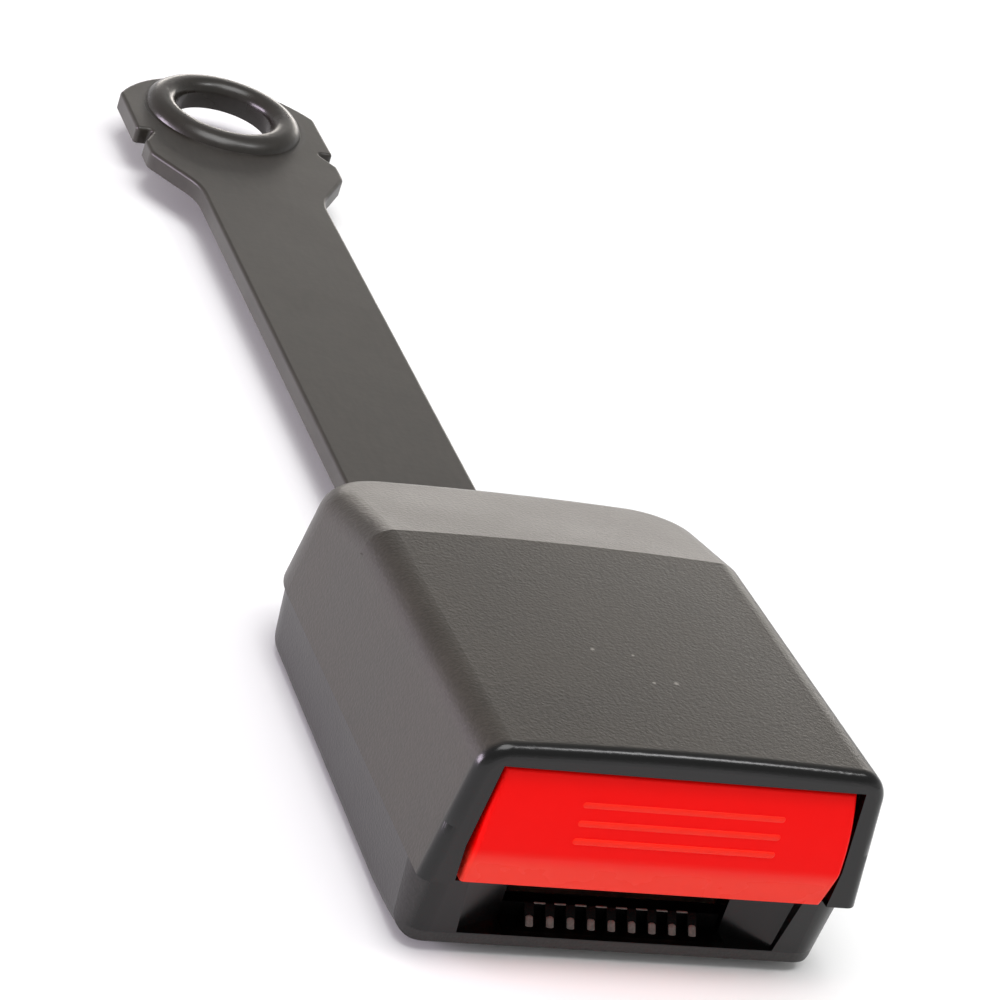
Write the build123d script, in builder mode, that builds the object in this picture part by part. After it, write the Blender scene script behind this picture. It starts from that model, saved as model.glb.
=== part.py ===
"""Seat belt buckle on a rigid steel stalk, modelled at its real size in millimetres.

The frame: the origin is the centre of the anchor hole on the underside of the stalk, +Y points
from the buckle to the anchor end, +Z is the side of the release button, X runs across.
The tongue enters at the front of the housing, towards +Y, and "depth" is a distance from the
front rim of the housing into it.
"""
from build123d import *
from math import atan2, cos, degrees, radians, sin, sqrt, tan
import os

os.makedirs("parts", exist_ok=True)

# ---- Driving dimensions: stalk -------------------------------------------------------------
strap_width = 18.5
strap_thickness = 2.5
strap_edge_radius = 0.5
anchor_to_housing = 121.4          # hole centre to the rear face of the housing
bore_radius = 7.15                 # clears the 14 mm shoulder of a 7/16 inch anchor bolt
bead_radius = 11.6
bead_crest_radius = 9.1
bead_height = 1.6
bead_wall = 1.5
strap_end_margin = 4.2             # rivet centres to the end of the stalk
head_half_width = 15.0
head_reach = 11.8                  # hole centre to the far end of the head
head_corner_y = 3.2
notch_y = -7.9
notch_depth = 2.7
notch_length = 3.7
lobe_half_width = 14.6
lobe_y = -15.3
lobe_radius = 2.5
neck_y = -23.6                     # where the head has run out into the stalk
neck_radius = 8.0

# ---- Driving dimensions: housing -----------------------------------------------------------
housing_length = 66.0
front_half_width = 26.5            # at the height of the parting line, like the next two
middle_half_width = 26.1
rear_half_width = 25.8
draft = 7.6                        # degrees, all round the upper cover
roof_front_z = 24.0
roof_crease_z = 21.85
roof_rear_z = 16.4
crease_depth = 44.6
roof_crown_radius = 480.0
rear_corner_radius = 10.0
roof_edge_radius = 3.8             # along the sides and the rear
front_edge_radius = 1.4            # round the outside of the bezel
cover_wall = 1.9
roof_wall = 1.6
parting_front_z = 6.0
parting_rear_z = 4.3
parting_step = 0.3                 # the lower cover stands in from the upper one
lower_draft = 5.0
lower_front_depth = 1.0            # the lower cover starts behind the rim of the upper one
lower_front_radius = 3.0
floor_z = -2.0
floor_wall = 2.7
lip_bottom_z = -2.8
lip_top_z = -1.75
lip_run = 16.0                     # depth over which the underside comes down from the lip
bottom_edge_radius = 2.2
lower_wall = 1.8
bezel_depth = 3.0
bezel_gap = 0.7
joint_lip_height = 1.4
joint_lip_thickness = 1.0

# ---- Driving dimensions: mouth -------------------------------------------------------------
mouth_side_top = 6.1               # width left beside the mouth, at its top and its bottom
mouth_side_bottom = 7.5
mouth_recess = 2.4
cheek_depth = 4.8                  # where the slanted cheeks reach the slot
slot_clearance = 0.2               # the slot is this much narrower than the frame on each side
front_block_depth = 7.2
guide_top_z = 0.1
guide_seat_z = -2.4
guide_front_depth = 2.7
rib_count = 9
rib_pitch = 2.46
rib_width = 1.1
ramp_start_depth = 3.6
ramp_run = 1.8

# ---- Driving dimensions: steel frame and its rivets ----------------------------------------
frame_steel = 2.0
frame_outer_half_width = 15.6
frame_front_depth = 7.4
frame_rear_gap = 3.5               # end of the frame's tail to the rear of the housing
frame_tail_half_width = 9.8
frame_wall_z = 13.0
frame_low_wall_z = 4.2
rivet_radius = 2.0
rivet_head_radius = 3.4
rivet_head_height = 1.4
rivet_spacing = 9.6
rivet_edge = 4.8                   # rivet centres to the end of the frame's tail
hole_clearance = 0.05

# ---- Driving dimensions: latch -------------------------------------------------------------
lift_pin_depth = 30.5
latch_arm = 15.5                   # lift pin to pivot
pivot_z = 7.8
pivot_radius = 2.0
pivot_overhang = 1.2               # pivot beyond each side of the frame
latch_steel = 2.0
latch_plate_z = 5.4
latch_front_depth = 19.0
latch_heel = 2.6                   # latch plate behind the pivot
latch_tip_z = -1.4
latch_nose_half_width = 6.4
latch_side_play = 0.5
latch_bend_radius = 2.6
latch_lift_angle = 10.5            # degrees, closed to open
flange_front_depth = 27.8
flange_rim = 1.1                   # steel left over each pin hole
window_half_width = 7.2
lift_pin_z = 9.0
lift_pin_radius = 1.5
lift_pin_inset = 0.2               # ends of the pin inside the outsides of the arms
clip_thickness = 0.6
clip_radius = 3.4
clip_groove_radius = 1.6

# ---- Driving dimensions: release button and slider -----------------------------------------
button_travel = 5.0
button_under_roof = 3.2            # top edge of the button below the roof's front
button_knee_z = 10.8
button_bottom_z = 6.1
bezel_side_top = 5.85              # width of the bezel beside the button, at its three rows
bezel_side_knee = 4.8
bezel_side_bottom = 5.0
button_top_front = 0.6             # depth of the face at its top edge
button_knee_front = -1.0
button_bottom_front = 0.2
button_top_length = 11.0
button_skirt_length = 7.8
button_wall = 1.6
button_cavity_front = 3.2
slider_bridge = 3.0
arm_clearance = 0.4                # arms of the slider outside the frame
arm_thickness = 2.8
arm_top_z = 15.2
arm_bottom_z = 5.4
cam_clearance = 0.3
button_spring_length = 18.2
button_spring_z = 8.0
button_spring_radius = 1.6
button_spring_wire = 0.5
button_spring_turns = 7
spigot_radius = 0.95
spigot_length = 3.0

# ---- Driving dimensions: ejector -----------------------------------------------------------
ejector_front_depth = 23.2
ejector_length = 11.0
ejector_stroke = 7.0
ejector_half_width = 9.0
ejector_top_z = 5.0
ejector_keel_x = 6.0
ejector_keel_width = 1.6
ejector_nose = 3.3                 # front face of the ejector to its spring pocket
ejector_spring_radius = 1.5
ejector_spring_wire = 0.45
ejector_spring_turns = 9
ejector_spring_z = 2.2
guide_rod_radius = 0.7
running_gap = 0.3

# ---- Driving dimensions: rear carrier and cover screws -------------------------------------
carrier_length = 3.2
carrier_side_gap = 3.1             # between the carrier and the outside of the rear of the housing
carrier_leg_half_width = 17.5
carrier_top_z = 12.5
leaf_width = 8.0
leaf_thickness = 0.5
leaf_seat_z = 10.9
leaf_tip_reach = 8.5               # pivot to the end of the leaf that presses on the latch
screw_x = 14.2
screw_edge = 5.7                   # screw centres to the rear of the housing
screw_radius = 0.95
screw_head_radius = 2.4
screw_head_height = 1.6
screw_length = 10.0
boss_radius = 2.8

# ---- Derived places ------------------------------------------------------------------------
front_y = -(anchor_to_housing + housing_length)
bottom_z = floor_z - floor_wall
mouth_half_width_top = front_half_width - mouth_side_top
mouth_half_width_bottom = front_half_width - mouth_side_bottom
frame_inner_half_width = frame_outer_half_width - frame_steel
slot_half_width = frame_inner_half_width - slot_clearance
latch_half_width = frame_inner_half_width - latch_side_play
latch_top_z = latch_plate_z + latch_steel
# From the rear of the housing forwards: screws, carrier, springs; and tail, rivets, stalk.
screw_depth = housing_length - screw_edge
carrier_depth = screw_depth - boss_radius - 0.1 - carrier_length
arm_end_depth = carrier_depth - button_spring_length
frame_wall_end_depth = carrier_depth - 0.5
frame_rear_depth = housing_length - frame_rear_gap
rivet_depth = frame_rear_depth - rivet_edge
strap_end_depth = rivet_depth - strap_end_margin
seat_tab_depth = strap_end_depth - 2.3
screw_places = [(side * screw_x, front_y + screw_depth) for side in (-1, 1)]
# From the mouth rearwards: latch, pivot, ejector.
pivot_depth = lift_pin_depth + latch_arm
latch_rear_depth = pivot_depth + latch_heel
leaf_tip_depth = pivot_depth - leaf_tip_reach
ejector_pocket_depth = ejector_front_depth + ejector_nose
pivot_flange_top_z = pivot_z + pivot_radius + flange_rim
pin_flange_top_z = lift_pin_z + lift_pin_radius + flange_rim
pivot_half_length = frame_outer_half_width + pivot_overhang
# Across the housing: button, slider arms, springs.
button_top_z = roof_front_z - button_under_roof
button_top_half_width = front_half_width - bezel_side_top
button_knee_half_width = front_half_width - bezel_side_knee
button_bottom_half_width = front_half_width - bezel_side_bottom
arm_inner = frame_outer_half_width + arm_clearance
arm_outer = arm_inner + arm_thickness
button_spring_x = arm_outer
lift_pin_half_length = arm_outer - lift_pin_inset
carrier_half_width = rear_half_width - carrier_side_gap


def at(depth):
    """The Y coordinate of a depth behind the front rim."""
    return front_y + depth


def cross_plane(depth):
    """A plane across the housing at a depth, with sketch axes X and Z."""
    return Plane.XZ.offset(-at(depth))


def parting_z(depth):
    """Height of the parting line between the two covers."""
    return parting_front_z + (parting_rear_z - parting_front_z) * depth / housing_length


def save(piece, name):
    """Labels a finished piece and writes it."""
    piece.part.label = name
    export_step(piece.part, f"parts/{name}.step")


# ---- Anchor stalk --------------------------------------------------------------------------
def corner(sketch, x, y):
    """The vertices of a sketch at a corner and at its mirror image."""
    return [v for v in sketch.vertices() if abs(abs(v.X) - x) < 0.01 and abs(v.Y - y) < 0.01]


with BuildPart() as anchor_strap:
    half = strap_width / 2
    notch_root = (head_half_width - notch_depth, notch_y + 0.2)
    with BuildSketch() as stalk_plan:
        with BuildLine():
            Polyline(
                (0, head_reach - 6),
                (0, at(strap_end_depth)),
                (half, at(strap_end_depth)),
                (half, neck_y),
                (lobe_half_width, lobe_y),
                (lobe_half_width, notch_y - notch_length),
                notch_root,
                (head_half_width, notch_y),
                (head_half_width, head_corner_y),
            )
            ThreePointArc(
                (head_half_width, head_corner_y),
                (head_half_width * 0.6, head_reach - 2.55),
                (0, head_reach),
            )
            Line((0, head_reach), (0, head_reach - 6))
        make_face()
        mirror(about=Plane.YZ)
        fillet(corner(stalk_plan, half, at(strap_end_depth)), 2.0)
        fillet(corner(stalk_plan, half, neck_y), neck_radius)
        fillet(corner(stalk_plan, lobe_half_width, lobe_y), lobe_radius)
        fillet(corner(stalk_plan, lobe_half_width, notch_y - notch_length), 0.8)
        fillet(corner(stalk_plan, *notch_root), 0.6)
        fillet(corner(stalk_plan, head_half_width, notch_y), 0.6)
        fillet(corner(stalk_plan, head_half_width, head_corner_y), 1.8)
    extrude(amount=strap_thickness)
    fillet(anchor_strap.faces().sort_by(Axis.Z)[-1].edges(), strap_edge_radius)
    # The bead pressed up round the hole, and the hollow that it leaves underneath.
    crest_z = strap_thickness + bead_height
    with BuildSketch(Plane.XZ):
        with BuildLine():
            Line((bore_radius, strap_thickness * 0.5), (bore_radius, strap_thickness))
            ThreePointArc(
                (bore_radius, strap_thickness),
                (bore_radius + 0.6, strap_thickness + bead_height * 0.72),
                (bead_crest_radius, crest_z),
            )
            ThreePointArc(
                (bead_crest_radius, crest_z),
                (bead_crest_radius + 1.75, strap_thickness + bead_height * 0.66),
                (bead_radius, strap_thickness),
            )
            Line((bead_radius, strap_thickness), (bead_radius, strap_thickness * 0.5))
            Line((bead_radius, strap_thickness * 0.5), (bore_radius, strap_thickness * 0.5))
        make_face()
    revolve(axis=Axis.Z)
    with BuildSketch(Plane.XZ):
        with BuildLine():
            ThreePointArc(
                (bore_radius + bead_wall, 0),
                ((bore_radius + bead_radius) / 2, crest_z - bead_wall - 0.6),
                (bead_radius - 0.4, 0),
            )
            Line((bead_radius - 0.4, 0), (bore_radius + bead_wall, 0))
        make_face()
    revolve(axis=Axis.Z, mode=Mode.SUBTRACT)
    with Locations((0, 0, 0)):
        Hole(radius=bore_radius)
    with Locations((0, at(rivet_depth), strap_thickness)):
        with GridLocations(rivet_spacing, 0, 2, 1):
            Hole(radius=rivet_radius + hole_clearance)
save(anchor_strap, "anchor_strap")


# ---- Housing forms -------------------------------------------------------------------------
def housing_plan(inset, front=-9.0, front_radius=0.0):
    """The plan of the housing stood in by inset, cut off at a depth and rounded there."""
    rear = at(housing_length) - inset
    wide, middle, narrow = (w - inset for w in (front_half_width, middle_half_width, rear_half_width))
    with BuildSketch(mode=Mode.PRIVATE) as plan:
        with BuildLine():
            Polyline((-wide, at(0)), (-wide, at(-9)), (wide, at(-9)), (wide, at(0)))
            ThreePointArc((wide, at(0)), (middle, at(housing_length / 2)), (narrow, rear))
            Line((narrow, rear), (-narrow, rear))
            ThreePointArc((-narrow, rear), (-middle, at(housing_length / 2)), (-wide, at(0)))
        make_face()
        with Locations((0, at(front))):
            Rectangle(80, 80, align=(Align.CENTER, Align.MIN), mode=Mode.INTERSECT)
        fillet(plan.vertices().group_by(Axis.Y)[-1], rear_corner_radius - min(inset, 2.5))
        if front_radius:
            fillet(plan.vertices().group_by(Axis.Y)[0], front_radius)
    return plan.sketch


def roof_form(lowered):
    """Everything under the crowned and creased roof, lowered by the roof's thickness."""
    depths = (-6.0, crease_depth, housing_length)
    slope = (roof_front_z - roof_crease_z) / crease_depth
    heights = (roof_front_z + 6.0 * slope, roof_crease_z, roof_rear_z)
    half = 32.0
    drop = half ** 2 / (2 * roof_crown_radius)
    with BuildPart(mode=Mode.PRIVATE) as form:
        for depth, height in zip(depths, heights):
            top = height - lowered
            with BuildSketch(cross_plane(depth)):
                with BuildLine():
                    ThreePointArc((-half, top - drop), (0, top), (half, top - drop))
                    Polyline((half, top - drop), (half, -12), (-half, -12), (-half, top - drop))
                make_face()
        loft(ruled=True)
    return form.part


def half_space(above):
    """The space above or below the parting line, to trim a cover to it."""
    far = 40.0 if above else -40.0
    with BuildPart(mode=Mode.PRIVATE) as space:
        with BuildSketch(Plane.YZ):
            with BuildLine():
                Polyline(
                    (at(-9), parting_z(-9)),
                    (at(housing_length + 9), parting_z(housing_length + 9)),
                    (at(housing_length + 9), far),
                    (at(-9), far),
                    close=True,
                )
            make_face()
        extrude(amount=40, both=True)
    return space.part


def button_outline(grow):
    """The right-hand outline of the button seen from the front, grown by a clearance."""
    rows = (
        (button_top_half_width, button_top_z),
        (button_knee_half_width, button_knee_z),
        (button_bottom_half_width, button_bottom_z),
    )
    right = [(x + grow, z) for x, z in rows]
    right[0] = (right[0][0], right[0][1] + min(grow, 0.45))
    return right


plan_base_z = 3.5
form_height = 22.0


def free_edges(faces):
    """The edges round a group of faces, without those that two of them share."""
    every = [e for f in faces for e in f.edges()]
    return [e for e in every if sum(e.is_same(other) for other in every) == 1]


# ---- Upper cover ---------------------------------------------------------------------------
with BuildPart() as upper_cover:
    with BuildSketch(Plane.XY.offset(plan_base_z)):
        add(housing_plan(0))
    extrude(amount=form_height, dir=(0, 0, 1), taper=draft)
    add(roof_form(0), mode=Mode.INTERSECT)
    with BuildSketch(cross_plane(0)):
        Rectangle(80, 80)
    extrude(amount=20, mode=Mode.SUBTRACT)
    roof_edges = free_edges(upper_cover.faces().filter_by(lambda f: f.normal_at().Z > 0.9))
    fillet([e for e in roof_edges if e.center().Y > at(0.5)], roof_edge_radius)
    fillet([e for e in upper_cover.faces().sort_by(Axis.Y)[0].edges() if e.center().Z > plan_base_z + 1],
           front_edge_radius)
    # The hollow behind the bezel.
    with BuildPart(mode=Mode.PRIVATE) as hollow:
        with BuildSketch(Plane.XY.offset(plan_base_z)):
            add(housing_plan(cover_wall))
        extrude(amount=form_height, dir=(0, 0, 1), taper=draft)
        add(roof_form(roof_wall), mode=Mode.INTERSECT)
        with BuildSketch(cross_plane(bezel_depth)):
            Rectangle(80, 80)
        extrude(amount=20, mode=Mode.SUBTRACT)
    add(hollow.part, mode=Mode.SUBTRACT)
    # The opening for the button, which runs out of the bottom of the front.
    opening = button_outline(bezel_gap)
    with BuildSketch(cross_plane(-6)):
        with BuildLine():
            corners = opening + [(opening[-1][0], -5)]
            Polyline(*corners, *[(-x, z) for x, z in reversed(corners)], close=True)
        make_face()
    extrude(amount=-(bezel_depth + 6.5), mode=Mode.SUBTRACT)
    add(half_space(above=True), mode=Mode.INTERSECT)
    # Screw bosses under the rear slope.
    with BuildSketch(Plane.XY.offset(parting_rear_z)):
        with Locations(screw_places):
            Circle(boss_radius)
    extrude(amount=roof_rear_z - parting_rear_z - 0.4)
    with BuildSketch(Plane.XY.offset(parting_rear_z)):
        with Locations(screw_places):
            Circle(screw_radius + hole_clearance)
    extrude(amount=screw_length - 2.0, mode=Mode.SUBTRACT)
save(upper_cover, "upper_cover")


# ---- Lower cover ---------------------------------------------------------------------------
def above_underside():
    """A wide body over the underside, which comes down in a curve from the lip at the mouth."""
    far = at(housing_length + 1)
    rise = lip_bottom_z - bottom_z
    sweep = (lip_run ** 2 + rise ** 2) / (2 * rise)
    ahead = lip_run / 5
    ahead_z = bottom_z + sweep - sqrt(sweep ** 2 - (lip_run + ahead) ** 2)
    with BuildPart(mode=Mode.PRIVATE) as form:
        with BuildSketch(Plane.YZ):
            with BuildLine():
                TangentArc((at(lip_run), bottom_z), (at(-ahead), ahead_z), tangent=(-1, 0))
                Polyline((at(lip_run), bottom_z), (far, bottom_z), (far, 12), (at(-ahead), 12), (at(-ahead), ahead_z))
            make_face()
        extrude(amount=40, both=True)
    return form.part


def drafted_plan(inset, front, front_radius=0.0):
    """A body with the housing's plan that narrows downwards from above the parting line."""
    low_z = bottom_z - 1.0
    height = parting_front_z + 1.0 - low_z
    slimmer = height * tan(radians(lower_draft))
    with BuildPart(mode=Mode.PRIVATE) as body:
        with BuildSketch(Plane.XY.offset(low_z)):
            add(housing_plan(inset + slimmer, front + slimmer, front_radius))
        extrude(amount=height, dir=(0, 0, 1), taper=-lower_draft)
    return body.part


with BuildPart() as lower_cover:
    add(above_underside())
    add(drafted_plan(parting_step, -9.0), mode=Mode.INTERSECT)
    bottom_edges = free_edges(lower_cover.faces().filter_by(lambda f: f.normal_at().Z < -0.9))
    fillet([e for e in bottom_edges if e.center().Y > at(0.5)], bottom_edge_radius)
    front_form = drafted_plan(parting_step - 0.04, lower_front_depth, lower_front_radius)
    add(front_form, mode=Mode.INTERSECT)
    # The hollow that holds the frame, behind the solid block at the mouth.
    hollow_inset = parting_step + lower_wall
    with BuildPart(mode=Mode.PRIVATE) as tray:
        add(drafted_plan(hollow_inset, 0))
        with BuildSketch(Plane.XY.offset(floor_z)):
            Rectangle(400, 400)
        extrude(amount=-20, mode=Mode.SUBTRACT)
        with BuildSketch(cross_plane(front_block_depth)):
            Rectangle(80, 80)
        extrude(amount=20, mode=Mode.SUBTRACT)
    add(tray.part, mode=Mode.SUBTRACT)
    # The mouth: a recess across the front, slanted cheeks, and the slot for the tongue.
    with BuildPart(mode=Mode.PRIVATE) as mouth:
        for depth, low, high in (
            (-1.0, mouth_half_width_bottom, mouth_half_width_top),
            (mouth_recess, mouth_half_width_bottom, mouth_half_width_top),
            (cheek_depth, slot_half_width, slot_half_width),
        ):
            with BuildSketch(cross_plane(depth)):
                with BuildLine():
                    Polyline((-low, lip_top_z), (low, lip_top_z), (high, 9), (-high, 9), close=True)
                make_face()
        loft(ruled=True)
    add(mouth.part, mode=Mode.SUBTRACT)
    with BuildSketch(cross_plane(front_block_depth + 0.5)):
        with Locations((0, guide_seat_z)):
            Rectangle(2 * slot_half_width, 10, align=(Align.CENTER, Align.MIN))
    extrude(amount=front_block_depth + 0.5 - guide_front_depth, mode=Mode.SUBTRACT)
    # The room for the lower edge of the button.
    with BuildSketch(cross_plane(button_travel + button_bottom_front + button_skirt_length + 1.0)):
        with Locations((0, button_bottom_z - 0.6)):
            Rectangle(2 * (button_bottom_half_width + 0.5), 10, align=(Align.CENTER, Align.MIN))
    extrude(amount=20, mode=Mode.SUBTRACT)
    add(half_space(above=False), mode=Mode.INTERSECT)
    # The upstanding lip that locates the upper cover.
    with BuildPart(mode=Mode.PRIVATE) as lip:
        lip_inset = cover_wall + running_gap
        for inset, mode in ((lip_inset, Mode.ADD), (lip_inset + joint_lip_thickness, Mode.SUBTRACT)):
            with BuildSketch(Plane.XY.offset(plan_base_z)):
                add(housing_plan(inset))
            extrude(
                amount=parting_rear_z - plan_base_z + joint_lip_height, dir=(0, 0, 1), taper=draft, mode=mode
            )
        with BuildSketch(cross_plane(front_block_depth)):
            Rectangle(80, 80)
        extrude(amount=20, mode=Mode.SUBTRACT)
        # It is cut away round the upper cover's screw bosses.
        with BuildSketch(Plane.XY.offset(parting_rear_z)):
            with Locations(screw_places):
                Circle(boss_radius + running_gap)
        extrude(amount=2 * joint_lip_height, mode=Mode.SUBTRACT)
    add(lip.part)
    # The way out for the stalk at the rear.
    with BuildSketch(cross_plane(housing_length + 2)):
        with Locations((0, strap_thickness / 2)):
            Rectangle(strap_width + 0.8, strap_thickness + 0.6)
    extrude(amount=8, mode=Mode.SUBTRACT)
    # Screw pillars with their counterbores.
    with BuildSketch(Plane.XY.offset(floor_z)):
        with Locations(screw_places):
            Circle(boss_radius)
    extrude(amount=parting_rear_z - floor_z - 0.1)
    with BuildSketch(Plane.XY.offset(bottom_z)):
        with Locations(screw_places):
            Circle(screw_head_radius + 0.2)
    extrude(amount=screw_head_height + 0.4, mode=Mode.SUBTRACT)
    with BuildSketch(Plane.XY.offset(bottom_z)):
        with Locations(screw_places):
            Circle(screw_radius + 0.25)
    extrude(amount=12, mode=Mode.SUBTRACT)
save(lower_cover, "lower_cover")

# ---- Tongue guide: the ribbed ramp in the mouth --------------------------------------------
with BuildPart() as tongue_guide:
    ramp_end_depth = ramp_start_depth + ramp_run
    with BuildSketch(Plane.YZ):
        with BuildLine():
            Polyline(
                (at(guide_front_depth), guide_seat_z),
                (at(guide_front_depth), lip_top_z),
                (at(ramp_end_depth), lip_top_z + 0.1),
                (at(ramp_end_depth), guide_top_z),
                (at(front_block_depth), guide_top_z),
                (at(front_block_depth), guide_seat_z),
                close=True,
            )
        make_face()
    extrude(amount=slot_half_width - 0.15, both=True)
    first_rib = -rib_pitch * (rib_count - 1) / 2
    with BuildPart(mode=Mode.PRIVATE) as rib:
        with BuildSketch(Plane.YZ):
            with BuildLine():
                Polyline(
                    (at(ramp_start_depth), lip_top_z),
                    (at(ramp_end_depth), guide_top_z),
                    (at(ramp_end_depth), lip_top_z),
                    close=True,
                )
            make_face()
        extrude(amount=rib_width / 2, both=True)
    for place in range(rib_count):
        add(rib.part.translate((first_rib + place * rib_pitch, 0, 0)))
save(tongue_guide, "tongue_guide")

# ---- Steel frame ---------------------------------------------------------------------------
with BuildPart() as frame:
    with BuildSketch(Plane.XY.offset(floor_z)):
        with BuildLine():
            Polyline(
                (-frame_outer_half_width, at(frame_front_depth)),
                (frame_outer_half_width, at(frame_front_depth)),
                (frame_outer_half_width, at(frame_wall_end_depth)),
                (frame_tail_half_width, at(frame_wall_end_depth)),
                (frame_tail_half_width, at(frame_rear_depth)),
                (-frame_tail_half_width, at(frame_rear_depth)),
                (-frame_tail_half_width, at(frame_wall_end_depth)),
                (-frame_outer_half_width, at(frame_wall_end_depth)),
                close=True,
            )
        make_face()
    extrude(amount=frame_steel)
    for side in (0, 1):
        with BuildPart(mode=Mode.PRIVATE) as side_wall:
            with BuildSketch(Plane.YZ.offset(frame_inner_half_width)):
                with BuildLine():
                    Polyline(
                        (at(frame_front_depth), floor_z),
                        (at(frame_front_depth), frame_low_wall_z),
                        (at(frame_front_depth + 6.2), frame_low_wall_z),
                        (at(frame_front_depth + 8.6), frame_wall_z),
                        (at(frame_wall_end_depth - 3.0), frame_wall_z),
                        (at(frame_wall_end_depth), frame_wall_z - 3.0),
                        (at(frame_wall_end_depth), floor_z),
                        close=True,
                    )
                make_face()
            extrude(amount=frame_steel)
        add(side_wall.part if side == 0 else side_wall.part.mirror(Plane.YZ))
    bend_edges = frame.edges().filter_by(Axis.Y).group_by(Axis.Z)[0]
    fillet([e for e in bend_edges if abs(abs(e.center().X) - frame_outer_half_width) < 0.01], 1.8)
    # The window for the latch's nose, and the two slots that guide the ejector.
    window_rear = latch_front_depth + latch_steel + 2.0
    window_front = latch_front_depth - 1.8
    with BuildSketch(Plane.XY.offset(floor_z - 1)):
        with Locations((0, at((window_front + window_rear) / 2))):
            RectangleRounded(2 * window_half_width, window_rear - window_front, 1.0)
        slot_front = ejector_pocket_depth - 0.7
        slot_rear = slot_front + ejector_length - 3.0 + ejector_stroke
        for x in (-ejector_keel_x, ejector_keel_x):
            with Locations((x, at((slot_front + slot_rear) / 2))):
                RectangleRounded(ejector_keel_width + 0.5, slot_rear - slot_front, 0.9)
    extrude(amount=frame_steel + 2, mode=Mode.SUBTRACT)
    # Pivot holes and the open-topped slots that the lift pin rises in.
    with BuildSketch(Plane.YZ.offset(-frame_outer_half_width - 1)):
        with Locations((at(pivot_depth), pivot_z)):
            Circle(pivot_radius + hole_clearance)
        with Locations((at(lift_pin_depth + 0.25), lift_pin_z)):
            Circle(lift_pin_radius + 0.6)
        with Locations((at(lift_pin_depth + 0.25), lift_pin_z + 5)):
            Rectangle(2 * (lift_pin_radius + 0.6), 10)
    extrude(amount=2 * frame_outer_half_width + 2, mode=Mode.SUBTRACT)
    # The upstand that holds the ejector's guide rod, and the rivet holes.
    with BuildSketch(Plane.XY.offset(-frame_steel / 2)):
        with Locations((0, at(seat_tab_depth + 0.9))):
            Rectangle(7.0, 1.8)
    extrude(amount=frame_steel / 2 + 4.2)
    with BuildSketch(cross_plane(seat_tab_depth + 4)):
        with Locations((0, ejector_spring_z)):
            Circle(guide_rod_radius + hole_clearance)
    extrude(amount=8, mode=Mode.SUBTRACT)
    with BuildSketch(Plane.XY.offset(floor_z - 1)):
        with Locations((0, at(rivet_depth))):
            with GridLocations(rivet_spacing, 0, 2, 1):
                Circle(rivet_radius + hole_clearance)
    extrude(amount=frame_steel + 2, mode=Mode.SUBTRACT)
    with BuildSketch(Plane.XY.offset(floor_z)):
        with Locations((0, at(rivet_depth))):
            with GridLocations(rivet_spacing, 0, 2, 1):
                Circle(rivet_radius + 1.0)
    extrude(amount=1.0, taper=45, mode=Mode.SUBTRACT)
save(frame, "frame")

# ---- Rivets between stalk and frame --------------------------------------------------------
with BuildPart() as rivet:
    shank_base = floor_z + 1.0
    with BuildSketch(Plane.XY.offset(floor_z + 0.05)):
        Circle(rivet_radius + 0.9)
    with BuildSketch(Plane.XY.offset(shank_base)):
        Circle(rivet_radius)
    loft()
    with BuildSketch(Plane.XY.offset(shank_base)):
        Circle(rivet_radius)
    extrude(amount=strap_thickness - shank_base)
    with BuildSketch(Plane.XY.offset(strap_thickness)):
        Circle(rivet_head_radius)
    extrude(amount=rivet_head_height)
    fillet(rivet.edges().group_by(Axis.Z)[-1], rivet_head_height * 0.8)
with BuildPart() as strap_rivets:
    with Locations((0, at(rivet_depth), 0)):
        with GridLocations(rivet_spacing, 0, 2, 1):
            add(rivet.part)
save(strap_rivets, "strap_rivets")


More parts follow.
